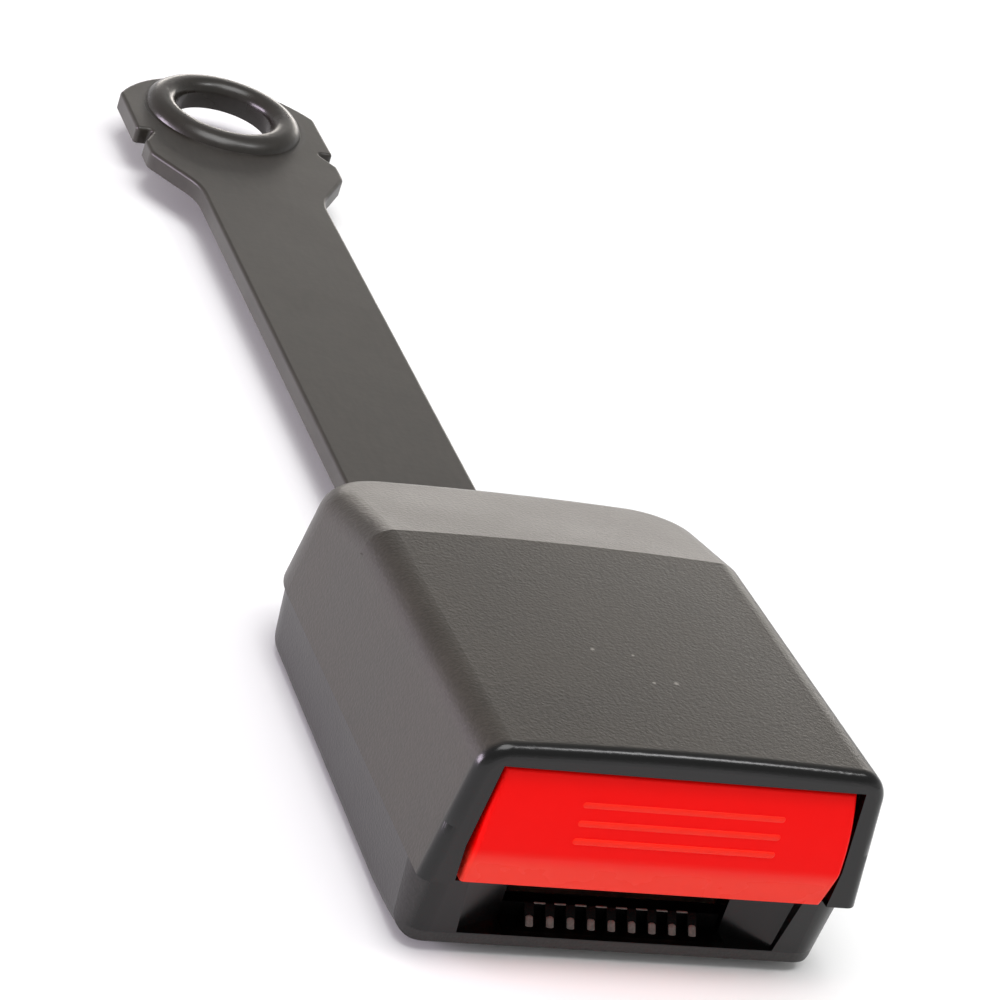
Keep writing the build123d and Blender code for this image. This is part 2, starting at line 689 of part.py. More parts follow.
# ---- Latch ---------------------------------------------------------------------------------
with BuildPart() as latch_plate:
    with BuildSketch(Plane.YZ) as latch_side:
        with BuildLine():
            Polyline(
                (at(latch_front_depth), latch_top_z),
                (at(latch_rear_depth), latch_top_z),
                (at(latch_rear_depth), latch_plate_z),
                (at(latch_front_depth + latch_steel), latch_plate_z),
                (at(latch_front_depth + latch_steel), latch_tip_z),
                (at(latch_front_depth + latch_steel - 0.8), latch_tip_z),
                (at(latch_front_depth), latch_tip_z + 2.6),
                close=True,
            )
        make_face()
        fillet(latch_side.vertices().group_by(Axis.X)[0].sort_by(Axis.Y)[-1], latch_bend_radius)
    extrude(amount=latch_half_width, both=True)
    with BuildSketch(Plane.XY.offset(latch_tip_z - 1)) as latch_plan:
        with BuildLine():
            Polyline(
                (-latch_nose_half_width, at(latch_front_depth - 1)),
                (latch_nose_half_width, at(latch_front_depth - 1)),
                (latch_nose_half_width, at(latch_front_depth + 3.4)),
                (latch_half_width, at(flange_front_depth - 1.5)),
                (latch_half_width, at(latch_rear_depth)),
                (-latch_half_width, at(latch_rear_depth)),
                (-latch_half_width, at(flange_front_depth - 1.5)),
                (-latch_nose_half_width, at(latch_front_depth + 3.4)),
                close=True,
            )
        make_face()
    extrude(amount=20, mode=Mode.INTERSECT)
    # The two flanges that carry the pivot and the lift pin.
    for side in (0, 1):
        with BuildPart(mode=Mode.PRIVATE) as flange:
            with BuildSketch(Plane.YZ.offset(latch_half_width - latch_steel)) as flange_side:
                with BuildLine():
                    Polyline(
                        (at(flange_front_depth), latch_plate_z),
                        (at(flange_front_depth), pin_flange_top_z),
                        (at(lift_pin_depth + 3.2), pin_flange_top_z),
                        (at(lift_pin_depth + 5.2), latch_top_z + 1.2),
                        (at(pivot_depth - 4.4), latch_top_z + 1.2),
                        (at(pivot_depth - 2.6), pivot_flange_top_z),
                        (at(latch_rear_depth), pivot_flange_top_z),
                        (at(latch_rear_depth), latch_plate_z),
                        close=True,
                    )
                make_face()
                fillet([v for group in flange_side.vertices().group_by(Axis.Y)[-2:] for v in group], 1.4)
            extrude(amount=latch_steel)
        add(flange.part if side == 0 else flange.part.mirror(Plane.YZ))
    with BuildSketch(Plane.YZ.offset(-latch_half_width - 1)):
        with Locations((at(pivot_depth), pivot_z)):
            Circle(pivot_radius + hole_clearance)
        with Locations((at(lift_pin_depth), lift_pin_z)):
            Circle(lift_pin_radius)
    extrude(amount=2 * latch_half_width + 2, mode=Mode.SUBTRACT)
    with BuildSketch(Plane.XY.offset(latch_plate_z - 1)):
        with Locations((0, at(flange_front_depth + 1.0))):
            RectangleRounded(9.0, 4.0, 1.5)
    extrude(amount=latch_steel + 2, mode=Mode.SUBTRACT)
save(latch_plate, "latch_plate")

with BuildPart() as lift_pin:
    with BuildSketch(Plane.YZ.offset(-lift_pin_half_length)):
        with Locations((at(lift_pin_depth), lift_pin_z)):
            Circle(lift_pin_radius)
    extrude(amount=2 * lift_pin_half_length)
    chamfer(lift_pin.edges(), 0.3)
save(lift_pin, "lift_pin")

with BuildPart() as pivot_pin:
    with BuildSketch(Plane.YZ.offset(-pivot_half_length)):
        with Locations((at(pivot_depth), pivot_z)):
            Circle(pivot_radius)
    extrude(amount=2 * pivot_half_length)
    chamfer(pivot_pin.edges(), 0.25)
    groove_start = frame_outer_half_width + 0.1
    for x in (groove_start, -groove_start - clip_thickness - 0.1):
        with BuildSketch(Plane.YZ.offset(x)):
            with Locations((at(pivot_depth), pivot_z)):
                Circle(pivot_radius + 1)
                Circle(clip_groove_radius, mode=Mode.SUBTRACT)
        extrude(amount=clip_thickness + 0.1, mode=Mode.SUBTRACT)
save(pivot_pin, "pivot_pin")

with BuildPart() as pivot_clips:
    for x in (groove_start + 0.05, -groove_start - 0.05 - clip_thickness):
        with BuildSketch(Plane.YZ.offset(x)):
            with Locations((at(pivot_depth), pivot_z)):
                Circle(clip_radius)
                Circle(clip_groove_radius + 0.02, mode=Mode.SUBTRACT)
            with Locations((at(pivot_depth), pivot_z + clip_radius)):
                Rectangle(2 * clip_groove_radius - 0.5, 2 * clip_radius, mode=Mode.SUBTRACT)
        extrude(amount=clip_thickness)
save(pivot_clips, "pivot_clips")

# ---- Release button and its slider ---------------------------------------------------------
cavity_low = button_bottom_z + button_wall
cavity_high = button_top_z - 0.9 - button_wall

with BuildPart() as press_button:
    top_rear = button_top_front + button_top_length
    skirt_rear = button_bottom_front + button_skirt_length
    face_middle = (
        at(button_top_front * 0.3 + button_knee_front * 0.7),
        button_top_z * 0.45 + button_knee_z * 0.55,
    )
    with BuildSketch(Plane.YZ) as button_side:
        with BuildLine():
            ThreePointArc(
                (at(button_top_front), button_top_z), face_middle, (at(button_knee_front), button_knee_z)
            )
            Polyline(
                (at(button_knee_front), button_knee_z),
                (at(button_bottom_front), button_bottom_z),
                (at(skirt_rear), button_bottom_z),
                (at(skirt_rear), button_knee_z),
                (at(top_rear), button_knee_z + 3.0),
                (at(top_rear), button_top_z - 0.9),
                (at(button_top_front), button_top_z),
            )
        make_face()
        fillet(button_side.vertices().group_by(Axis.X)[0], 2.2)
    extrude(amount=30, both=True)
    with BuildSketch(cross_plane(-4)):
        with BuildLine():
            for side in (-1, 1):
                ThreePointArc(
                    (side * button_top_half_width, button_top_z + 0.5),
                    (side * button_knee_half_width, button_knee_z),
                    (side * button_bottom_half_width, button_bottom_z - 0.5),
                )
            for z, wide in (
                (button_top_z + 0.5, button_top_half_width),
                (button_bottom_z - 0.5, button_bottom_half_width),
            ):
                Line((-wide, z), (wide, z))
        make_face()
    extrude(amount=-30, mode=Mode.INTERSECT)
    face_edges = [
        e for e in press_button.edges()
        if e.center().Y < at(button_top_front) + 0.3 and (e.bounding_box().size.Z > 2 or e.center().Z > 19)
    ]
    fillet(face_edges, 0.5)
    # The hollow that takes the slider's bridge, open to the rear.
    with BuildSketch(cross_plane(button_cavity_front)):
        with Locations((0, (cavity_low + cavity_high) / 2)):
            Rectangle(2 * (button_top_half_width - 1.0), cavity_high - cavity_low)
    extrude(amount=-30, mode=Mode.SUBTRACT)
save(press_button, "press_button")

lift = radians(latch_lift_angle)
reach = pivot_depth - lift_pin_depth
offset_z = lift_pin_z - pivot_z
pin_rise = reach * sin(lift) - offset_z * (1 - cos(lift))
pin_back = reach * (1 - cos(lift)) + offset_z * sin(lift)
cam_run = button_travel - pin_back

with BuildPart() as button_slider:
    bridge_low = cavity_low + 0.2
    bridge_high = cavity_high - 0.2
    bridge_middle = (bridge_low + bridge_high) / 2
    with BuildSketch(cross_plane(button_cavity_front)):
        with Locations((0, bridge_middle)):
            RectangleRounded(2 * arm_outer, bridge_high - bridge_low, 1.0)
            RectangleRounded(2 * arm_inner - 8, bridge_high - bridge_low - 5, 1.5, mode=Mode.SUBTRACT)
    extrude(amount=-slider_bridge)
    for side in (0, 1):
        with BuildPart(mode=Mode.PRIVATE) as arm:
            with BuildSketch(Plane.YZ.offset(arm_inner)):
                with BuildLine():
                    Polyline(
                        (at(button_cavity_front), bridge_low),
                        (at(button_cavity_front + 6.0), bridge_low),
                        (at(button_cavity_front + 9.0), arm_bottom_z),
                        (at(arm_end_depth), arm_bottom_z),
                        (at(arm_end_depth), arm_top_z - 2.6),
                        (at(arm_end_depth - 2.6), arm_top_z),
                        (at(button_cavity_front), arm_top_z),
                        close=True,
                    )
                make_face()
                with Locations((at(lift_pin_depth - cam_run / 2), lift_pin_z + pin_rise / 2)):
                    SlotCenterToCenter(
                        (cam_run ** 2 + pin_rise ** 2) ** 0.5,
                        2 * (lift_pin_radius + cam_clearance),
                        rotation=-degrees(atan2(pin_rise, cam_run)),
                        mode=Mode.SUBTRACT,
                    )
            extrude(amount=arm_thickness)
            # The lug that the return spring pushes on, with its spigot.
            with BuildSketch(cross_plane(arm_end_depth)):
                with Locations((button_spring_x, button_spring_z)):
                    Circle(button_spring_radius + 0.2)
                with Locations(((arm_inner + button_spring_x) / 2, button_spring_z)):
                    Rectangle(button_spring_x - arm_inner, 2 * button_spring_radius + 0.4)
            extrude(amount=2.6)
            with BuildSketch(cross_plane(arm_end_depth)):
                with Locations((button_spring_x, button_spring_z)):
                    Circle(spigot_radius)
            extrude(amount=-spigot_length)
        add(arm.part if side == 0 else arm.part.mirror(Plane.YZ))
save(button_slider, "button_slider")


def coil(radius, wire, turns, length):
    """A compression spring along +Z from the origin, closed to its free length."""
    middle_radius = radius - wire / 2
    run = length - wire
    with BuildPart(mode=Mode.PRIVATE) as spring:
        with BuildLine():
            Helix(pitch=run / turns, height=run, radius=middle_radius, center=(0, 0, wire / 2))
        with BuildSketch(Plane(origin=(middle_radius, 0, wire / 2), z_dir=(0, 1, 0))):
            RegularPolygon(wire / 2, 6)
        sweep(is_frenet=True)
    return spring.part


def along_y(x, depth, z):
    """A place whose own Z runs rearwards along +Y."""
    return Plane(origin=(x, at(depth), z), x_dir=(1, 0, 0), z_dir=(0, 1, 0)).location


button_coil = coil(button_spring_radius, button_spring_wire, button_spring_turns, button_spring_length)
for side, name in ((-1, "button_spring_left"), (1, "button_spring_right")):
    with BuildPart() as button_spring:
        with Locations(along_y(side * button_spring_x, arm_end_depth, button_spring_z)):
            add(button_coil)
    save(button_spring, name)

# ---- Ejector -------------------------------------------------------------------------------
ejector_rear_depth = ejector_front_depth + ejector_length
with BuildPart() as ejector:
    with BuildSketch(Plane.YZ) as ejector_side:
        with BuildLine():
            Polyline(
                (at(ejector_front_depth), running_gap),
                (at(ejector_front_depth), ejector_top_z - 1.0),
                (at(ejector_front_depth + 1.4), ejector_top_z),
                (at(ejector_rear_depth), ejector_top_z),
                (at(ejector_rear_depth), running_gap),
                close=True,
            )
        make_face()
    extrude(amount=ejector_half_width, both=True)
    fillet(ejector.edges().filter_by(Axis.Z), 0.8)
    with BuildSketch(Plane.XY.offset(running_gap)):
        for x in (-ejector_keel_x, ejector_keel_x):
            with Locations((x, at((ejector_pocket_depth + ejector_rear_depth - 1.2) / 2))):
                RectangleRounded(
                    ejector_keel_width, ejector_rear_depth - 1.2 - ejector_pocket_depth, 0.7
                )
    extrude(amount=floor_z - running_gap + 0.3)
    with BuildSketch(cross_plane(ejector_pocket_depth)):
        with Locations((0, ejector_spring_z)):
            Rectangle(2 * ejector_spring_radius + 0.8, 2 * ejector_spring_radius + 0.6)
        with Locations((0, 0)):
            Rectangle(2 * ejector_spring_radius + 0.8, 2 * ejector_spring_z)
    extrude(amount=-ejector_length, mode=Mode.SUBTRACT)
save(ejector, "ejector")

with BuildPart() as ejector_spring:
    spring_length = seat_tab_depth - ejector_pocket_depth
    with Locations(along_y(0, ejector_pocket_depth, ejector_spring_z)):
        add(coil(ejector_spring_radius, ejector_spring_wire, ejector_spring_turns, spring_length))
save(ejector_spring, "ejector_spring")

with BuildPart() as ejector_guide_rod:
    rod_front = ejector_pocket_depth + ejector_stroke + running_gap
    with BuildSketch(cross_plane(rod_front)):
        with Locations((0, ejector_spring_z)):
            Circle(guide_rod_radius)
    extrude(amount=-(seat_tab_depth + 1.8 - rod_front))
    with BuildSketch(cross_plane(seat_tab_depth + 1.8)):
        with Locations((0, ejector_spring_z)):
            Circle(guide_rod_radius + 0.6)
    extrude(amount=-0.45)
save(ejector_guide_rod, "ejector_guide_rod")

# ---- Rear carrier, latch spring and cover screws -------------------------------------------
with BuildPart() as spring_carrier:
    with BuildSketch(cross_plane(carrier_depth)):
        with BuildLine():
            right = [
                (frame_tail_half_width + 0.4, floor_z),
                (carrier_leg_half_width, floor_z),
                (carrier_leg_half_width, parting_rear_z + 0.7),
                (carrier_half_width, parting_rear_z + 2.7),
                (carrier_half_width, carrier_top_z - 3.0),
                (carrier_half_width - 3.0, carrier_top_z),
            ]
            inner = [(frame_tail_half_width + 0.4, strap_thickness + rivet_head_height + 0.4)]
            Polyline(*inner, *right, *[(-x, z) for x, z in reversed(inner + right)], close=True)
        make_face()
        with Locations((0, leaf_seat_z)):
            Rectangle(leaf_width + 0.4, leaf_thickness + 0.2, mode=Mode.SUBTRACT)
    extrude(amount=-carrier_length)
    with BuildSketch(cross_plane(carrier_depth)):
        with Locations((-button_spring_x, button_spring_z), (button_spring_x, button_spring_z)):
            Circle(spigot_radius)
    extrude(amount=spigot_length)
save(spring_carrier, "spring_carrier")

with BuildPart() as latch_spring:
    pin_top = pivot_z + pivot_radius
    with BuildLine() as leaf_path:
        FilletPolyline(
            (0, at(carrier_depth + carrier_length), leaf_seat_z),
            (0, at(carrier_depth - 1.2), leaf_seat_z),
            (0, at(pivot_depth - 1.0), pin_top + leaf_thickness / 2 + 0.05),
            (0, at(leaf_tip_depth), latch_top_z + leaf_thickness / 2 + 0.03),
            (0, at(leaf_tip_depth - 2.0), latch_top_z + 1.4),
            radius=1.2,
        )
    with BuildSketch(cross_plane(carrier_depth + carrier_length)):
        with Locations((0, leaf_seat_z)):
            Rectangle(leaf_width, leaf_thickness)
    sweep(path=leaf_path.line)
save(latch_spring, "latch_spring")

with BuildPart() as screw:
    with BuildSketch(Plane.XY.offset(bottom_z + 0.4)):
        Circle(screw_head_radius)
    extrude(amount=screw_head_height)
    fillet(screw.edges().group_by(Axis.Z)[0], 0.6)
    with BuildSketch(Plane.XY.offset(bottom_z + 0.4 + screw_head_height)):
        Circle(screw_radius)
    extrude(amount=screw_length)
    with BuildSketch(Plane.XY.offset(bottom_z + 0.4)):
        Rectangle(2.6, 0.6)
        Rectangle(0.6, 2.6)
    extrude(amount=0.9, mode=Mode.SUBTRACT)
with BuildPart() as cover_screws:
    with Locations(screw_places):
        add(screw.part)
save(cover_screws, "cover_screws")
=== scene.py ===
"""The looks of a seat belt buckle on its anchor stalk: finishes, springs, painted glints on the guide, camera
and light.
"""
import logging
from dataclasses import dataclass, field
from enum import Enum
from functools import partial
from math import atan2, pi, radians

import bmesh
import bpy
from mathutils import Euler, Matrix, Vector


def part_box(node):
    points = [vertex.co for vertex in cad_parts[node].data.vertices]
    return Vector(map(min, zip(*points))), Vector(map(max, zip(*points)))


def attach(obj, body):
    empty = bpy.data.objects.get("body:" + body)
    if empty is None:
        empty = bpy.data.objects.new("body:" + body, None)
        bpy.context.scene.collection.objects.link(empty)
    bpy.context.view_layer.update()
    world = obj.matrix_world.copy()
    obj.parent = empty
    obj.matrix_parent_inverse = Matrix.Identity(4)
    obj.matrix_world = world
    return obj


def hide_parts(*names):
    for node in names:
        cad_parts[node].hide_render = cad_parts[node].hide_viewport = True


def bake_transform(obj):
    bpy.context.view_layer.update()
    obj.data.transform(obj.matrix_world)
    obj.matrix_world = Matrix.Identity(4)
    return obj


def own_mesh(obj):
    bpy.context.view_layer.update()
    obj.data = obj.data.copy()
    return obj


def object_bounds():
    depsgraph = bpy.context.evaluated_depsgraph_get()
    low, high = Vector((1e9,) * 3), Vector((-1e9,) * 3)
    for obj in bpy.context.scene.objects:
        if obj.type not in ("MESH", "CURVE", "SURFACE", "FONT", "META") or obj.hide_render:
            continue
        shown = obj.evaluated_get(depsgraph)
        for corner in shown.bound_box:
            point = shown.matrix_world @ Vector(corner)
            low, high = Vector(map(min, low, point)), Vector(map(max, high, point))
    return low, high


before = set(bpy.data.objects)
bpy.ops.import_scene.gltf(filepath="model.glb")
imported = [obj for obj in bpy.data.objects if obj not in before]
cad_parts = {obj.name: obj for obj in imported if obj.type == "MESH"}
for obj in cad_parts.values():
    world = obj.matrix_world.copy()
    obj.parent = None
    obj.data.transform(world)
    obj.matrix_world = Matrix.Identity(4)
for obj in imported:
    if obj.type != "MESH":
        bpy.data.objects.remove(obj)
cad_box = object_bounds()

MM = 0.001
LOG = logging.getLogger("buckle")

Node = bpy.types.Node
NodeTree = bpy.types.NodeTree
Socket = bpy.types.NodeSocket
Pair = tuple[float, float]
Point = tuple[float, float, float]
Feed = Node | Socket | bpy.types.Material | float | Point

FRONT_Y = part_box("upper_cover")[0][1]           # the housing's front
GUIDE_TOP_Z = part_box("tongue_guide")[1][2]
LEAF_LOW, LEAF_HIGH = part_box("latch_spring")    # two corners of the leaf spring's plain solid


# ---- Shared helpers ------------------------------------------------------------------------
def linear(colour: str) -> tuple[float, float, float, float]:
    """Turns an sRGB hex colour into the linear colour that a shader socket takes.

    Args:
        colour: six hex digits, with or without a leading #.

    Returns:
        Linear red, green, blue and an alpha of 1.
    """
    digits = colour.lstrip("#")
    channels = [int(digits[i:i + 2], 16) / 255 for i in (0, 2, 4)]
    curve = [c / 12.92 if c <= 0.04045 else ((c + 0.055) / 1.055) ** 2.4 for c in channels]
    return (*curve, 1.0)


def feed(tree: NodeTree, node: Node, inputs: dict[str | int, Feed]) -> None:
    """Sets a node's sockets, or links them.

    Args:
        tree: the tree that holds the node.
        node: the node to feed.
        inputs: socket name or index to what goes in. A socket is linked, a node is linked by its first
            output, and anything else becomes the socket's value.
    """
    for key, value in inputs.items():
        source = value.outputs[0] if isinstance(value, Node) else value
        if isinstance(source, Socket):
            tree.links.new(source, node.inputs[key])
        else:
            node.inputs[key].default_value = source


def add_node(
    tree: NodeTree, kind: str, inputs: dict[str | int, Feed] | tuple[Feed, ...] = (), **settings: str | bool,
) -> Node:
    """Adds a node with its settings and links.

    Args:
        tree: the shader or geometry tree.
        kind: the node's type name.
        inputs: what goes into its sockets, by name or index, or else in their order.
        settings: properties of the node itself.

    Returns:
        The new node.
    """
    node = tree.nodes.new(kind)
    for name, value in settings.items():
        setattr(node, name, value)
    feed(tree, node, inputs if isinstance(inputs, dict) else dict(enumerate(inputs)))
    return node


def new_piece(name: str, mesh: bpy.types.Mesh) -> bpy.types.Object:
    """Puts a mesh into the scene as a piece at the origin.

    Args:
        name: the piece's name.
        mesh: its mesh, with the piece's place in it.

    Returns:
        The piece.
    """
    piece = bpy.data.objects.new(name, mesh)
    bpy.context.scene.collection.objects.link(piece)
    return piece


def finished(piece: bpy.types.Object, body: str, slot: str, *nodes: str) -> bpy.types.Object:
    """Rides a piece on its body, hides the CAD nodes that it replaces, and logs its faces.

    Args:
        piece: the finished piece.
        body: the CAD body that it moves with.
        slot: not used.
        nodes: the CAD nodes that it replaces.

    Returns:
        The same piece.
    """
    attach(piece, body)
    if nodes:
        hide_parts(*nodes)
    LOG.info("%s: %d faces on %s", piece.name, len(piece.data.polygons), body)
    return piece


# ---- Finishes ------------------------------------------------------------------------------
SOFT = {"interpolation_type": "SMOOTHSTEP"}     # a Map Range that eases in and out, and holds its ends
BULK = (0.3, 0.7)                               # nearly all values of a noise lie between these
MARK_RADIUS = 0.22                              # of a scattered mark, as a share of the marks' spacing
NO_LIMIT = 1.0                                  # metres, far past the whole buckle
ONTO_PLAN = (1.0, 1.0, 0.0)                     # drops the height out of a place

# A Mix node of colours keeps its two colours at these inputs and its result at this output.
MIX_FIRST, MIX_SECOND, MIX_RESULT = 6, 7, 2


class Coat(Enum):
    """What throws the light back, with its index of refraction. A bare metal keeps the shader's own."""

    PLASTIC = 1.49
    PAINT = 1.52
    BARE_METAL = None


@dataclass(frozen=True)
class Finish:
    """A material with its own colour and gloss. Subclasses add what varies over its surface."""

    name: str
    colour: str
    roughness: float
    coat: Coat = Coat.PLASTIC
    specular: float = 0.5           # less on a coat whose sheen hardly pales its colour

    def pattern(self, tree: NodeTree, place: Socket) -> dict[str, Node | Socket]:
        """Gives the shader's inputs that vary over the surface, with what feeds them: none when plain."""
        return {}

    def material(self) -> bpy.types.Material:
        """Builds the material, or gives the one already built.

        Returns:
            The material.
        """
        ready = bpy.data.materials.get(self.name)
        if ready:
            return ready
        made = bpy.data.materials.new(self.name)
        made.use_nodes = True
        made.diffuse_color = linear(self.colour)
        tree = made.node_tree
        shader = tree.nodes["Principled BSDF"]
        metal = self.coat is Coat.BARE_METAL
        constant = {"Base Color": linear(self.colour), "Roughness": self.roughness, "Metallic": float(metal)}
        if not metal:
            constant |= {"IOR": self.coat.value, "Specular IOR Level": self.specular}
        feed(tree, shader, constant)
        place = add_node(tree, "ShaderNodeTexCoord").outputs["Object"]
        feed(tree, shader, self.pattern(tree, place))
        return made


def speckle(tree: NodeTree, place: Socket, spacing: float, share: float, seed: float) -> Node:
    """Scatters small marks, as dust or scuffs leave.

    Args:
        tree: the material's tree.
        place: the coordinates to read.
        spacing: how far apart marks could lie, in metres.
        share: the share of those places that have one.
        seed: moves the pattern.

    Returns:
        The node that gives 1 on a mark and 0 off it.
    """
    add = partial(add_node, tree)
    moved = add("ShaderNodeMapping", {"Vector": place, "Location": (seed, seed, seed)})
    cells = add("ShaderNodeTexVoronoi", {"Vector": moved, "Scale": 1 / spacing, "Randomness": 1.0})
    chosen = add("ShaderNodeMath", (cells.outputs["Color"], share), operation="LESS_THAN")
    near = add("ShaderNodeMath", (cells.outputs["Distance"], MARK_RADIUS), operation="LESS_THAN")
    return add("ShaderNodeMath", (chosen, near), operation="MULTIPLY")


@dataclass(frozen=True)
class PolishedFront:
    """What the tool leaves polished on a moulding: its front, up to a width and down to a height."""

    rear_y: float
    half_width: float = NO_LIMIT
    low_z: float = -NO_LIMIT
    # the polish's colour; in the lower cover's mouth it is set near black as painted shade
    colour: str = "#040404"
    roughness: float = 0.22
    fade: float = 1.2 * MM          # over which the grain starts behind it and beside it
    low_fade: float = 0.2 * MM      # to each side of its lower edge

    def grained(self, tree: NodeTree, place: Socket) -> Node:
        """Tells the grained surface from the polished one.

        Args:
            tree: the material's tree.
            place: the Object coordinates.

        Returns:
            The node that gives 1 on the grain and 0 on the polish.
        """
        add = partial(add_node, tree)
        parts = add("ShaderNodeSeparateXYZ", {"Vector": place})
        across = add("ShaderNodeMath", (parts.outputs["X"],), operation="ABSOLUTE")
        rear = (parts.outputs["Y"], self.rear_y, self.rear_y + self.fade, 0.0, 1.0)
        side = (across, self.half_width, self.half_width + self.fade, 0.0, 1.0)
        foot = (parts.outputs["Z"], self.low_z - self.low_fade, self.low_z + self.low_fade, 1.0, 0.0)
        behind, beside, below = (add("ShaderNodeMapRange", limit, **SOFT) for limit in (rear, side, foot))
        either = add("ShaderNodeMath", (behind, beside), operation="MAXIMUM")
        return add("ShaderNodeMath", (either, below), operation="MAXIMUM")


@dataclass(frozen=True)
class GrainedPlastic(Finish):
    """Plastic moulded against a fine spark-eroded tool: a dull sheen broken by small pits."""

    grain: float = 0.35 * MM        # the real grain is about 0.1 mm, drawn coarser so that it shows
    grain_depth: float = 0.08 * MM
    grain_strength: float = 0.55
    grain_tone: float = 0.16        # how much darker a pit is, and lighter a crest
    cloud: float = 14.0 * MM        # the size of the soft changes that the melt's flow leaves
    cloud_tone: float = 0.1
    cloud_gloss: float = 0.02
    worn_colour: str = "#8a8680"
    scuff_spacing: float = 2.2 * MM
    scuffs: float = 0.012           # the share of the scuffs' places that have one
    scuff_seed: float = 0.37
    polished: PolishedFront | None = None
    nicks_mm: tuple[Point, ...] = ()    # pale knocks: X, the distance behind the front, and radius
    nick_reach: float = 2.2         # where a knock ends, in its radii
    nick_tone: float = 0.7

    def pattern(self, tree: NodeTree, place: Socket) -> dict[str, Node | Socket]:
        """Adds grain, a cloudy sheen, scuffs, the polished front and knocks.

        Args:
            tree: the material's tree.
            place: the Object coordinates.

        Returns:
            Names of the shader's inputs, each with what feeds it.
        """
        add = partial(add_node, tree)
        cloud = add("ShaderNodeTexNoise", {"Vector": place, "Scale": 1 / self.cloud, "Detail": 3.0})
        grain = add("ShaderNodeTexNoise", {"Vector": place, "Scale": 1 / self.grain, "Detail": 2.0})
        clouded = add("ShaderNodeMapRange", (cloud, *BULK, 1 - self.cloud_tone, 1 + self.cloud_tone), **SOFT)
        pitted = add("ShaderNodeMapRange", (grain, *BULK, 1 - self.grain_tone, 1 + self.grain_tone), **SOFT)
        tone = add("ShaderNodeMath", (clouded, pitted), operation="MULTIPLY")
        toned = add("ShaderNodeVectorMath", {0: linear(self.colour)[:3], "Scale": tone}, operation="SCALE")
        marks = speckle(tree, place, self.scuff_spacing, self.scuffs, self.scuff_seed)
        worn = linear(self.worn_colour)
        scuffed = {0: marks, MIX_FIRST: toned, MIX_SECOND: worn}
        colour = add("ShaderNodeMix", scuffed, data_type="RGBA").outputs[MIX_RESULT]
        dull, glossy = self.roughness + self.cloud_gloss, self.roughness - self.cloud_gloss
        rough = add("ShaderNodeMapRange", (cloud, *BULK, glossy, dull), **SOFT)
        strength: Node | float = self.grain_strength
        if self.polished:
            grained = self.polished.grained(tree, place)
            # In the lower cover's mouth the polished colour is near black: painted shade.
            parted = {0: grained, MIX_FIRST: linear(self.polished.colour), MIX_SECOND: colour}
            colour = add("ShaderNodeMix", parted, data_type="RGBA").outputs[MIX_RESULT]
            rough = add("ShaderNodeMix", {"Factor": grained, "A": self.polished.roughness, "B": rough})
            strength = add("ShaderNodeMath", (grained, self.grain_strength), operation="MULTIPLY")
        for across, behind, radius in self.nicks_mm:
            size = radius * MM
            middle = (across * MM, FRONT_Y + behind * MM, 0.0)
            flat = add("ShaderNodeVectorMath", (place, ONTO_PLAN), operation="MULTIPLY")
            reach = add("ShaderNodeVectorMath", (flat, middle), operation="DISTANCE").outputs["Value"]
            ragged = add("ShaderNodeMath", (grain, size, reach), operation="MULTIPLY_ADD")
            fall = (size, self.nick_reach * size, self.nick_tone, 0.0)
            nick = add("ShaderNodeMapRange", (ragged, *fall), **SOFT)
            nicked = {0: nick, MIX_FIRST: colour, MIX_SECOND: worn}
            colour = add("ShaderNodeMix", nicked, data_type="RGBA").outputs[MIX_RESULT]
        relief = add("ShaderNodeBump", {"Height": grain, "Strength": strength, "Distance": self.grain_depth})
        return {"Base Color": colour, "Roughness": rough, "Normal": relief}


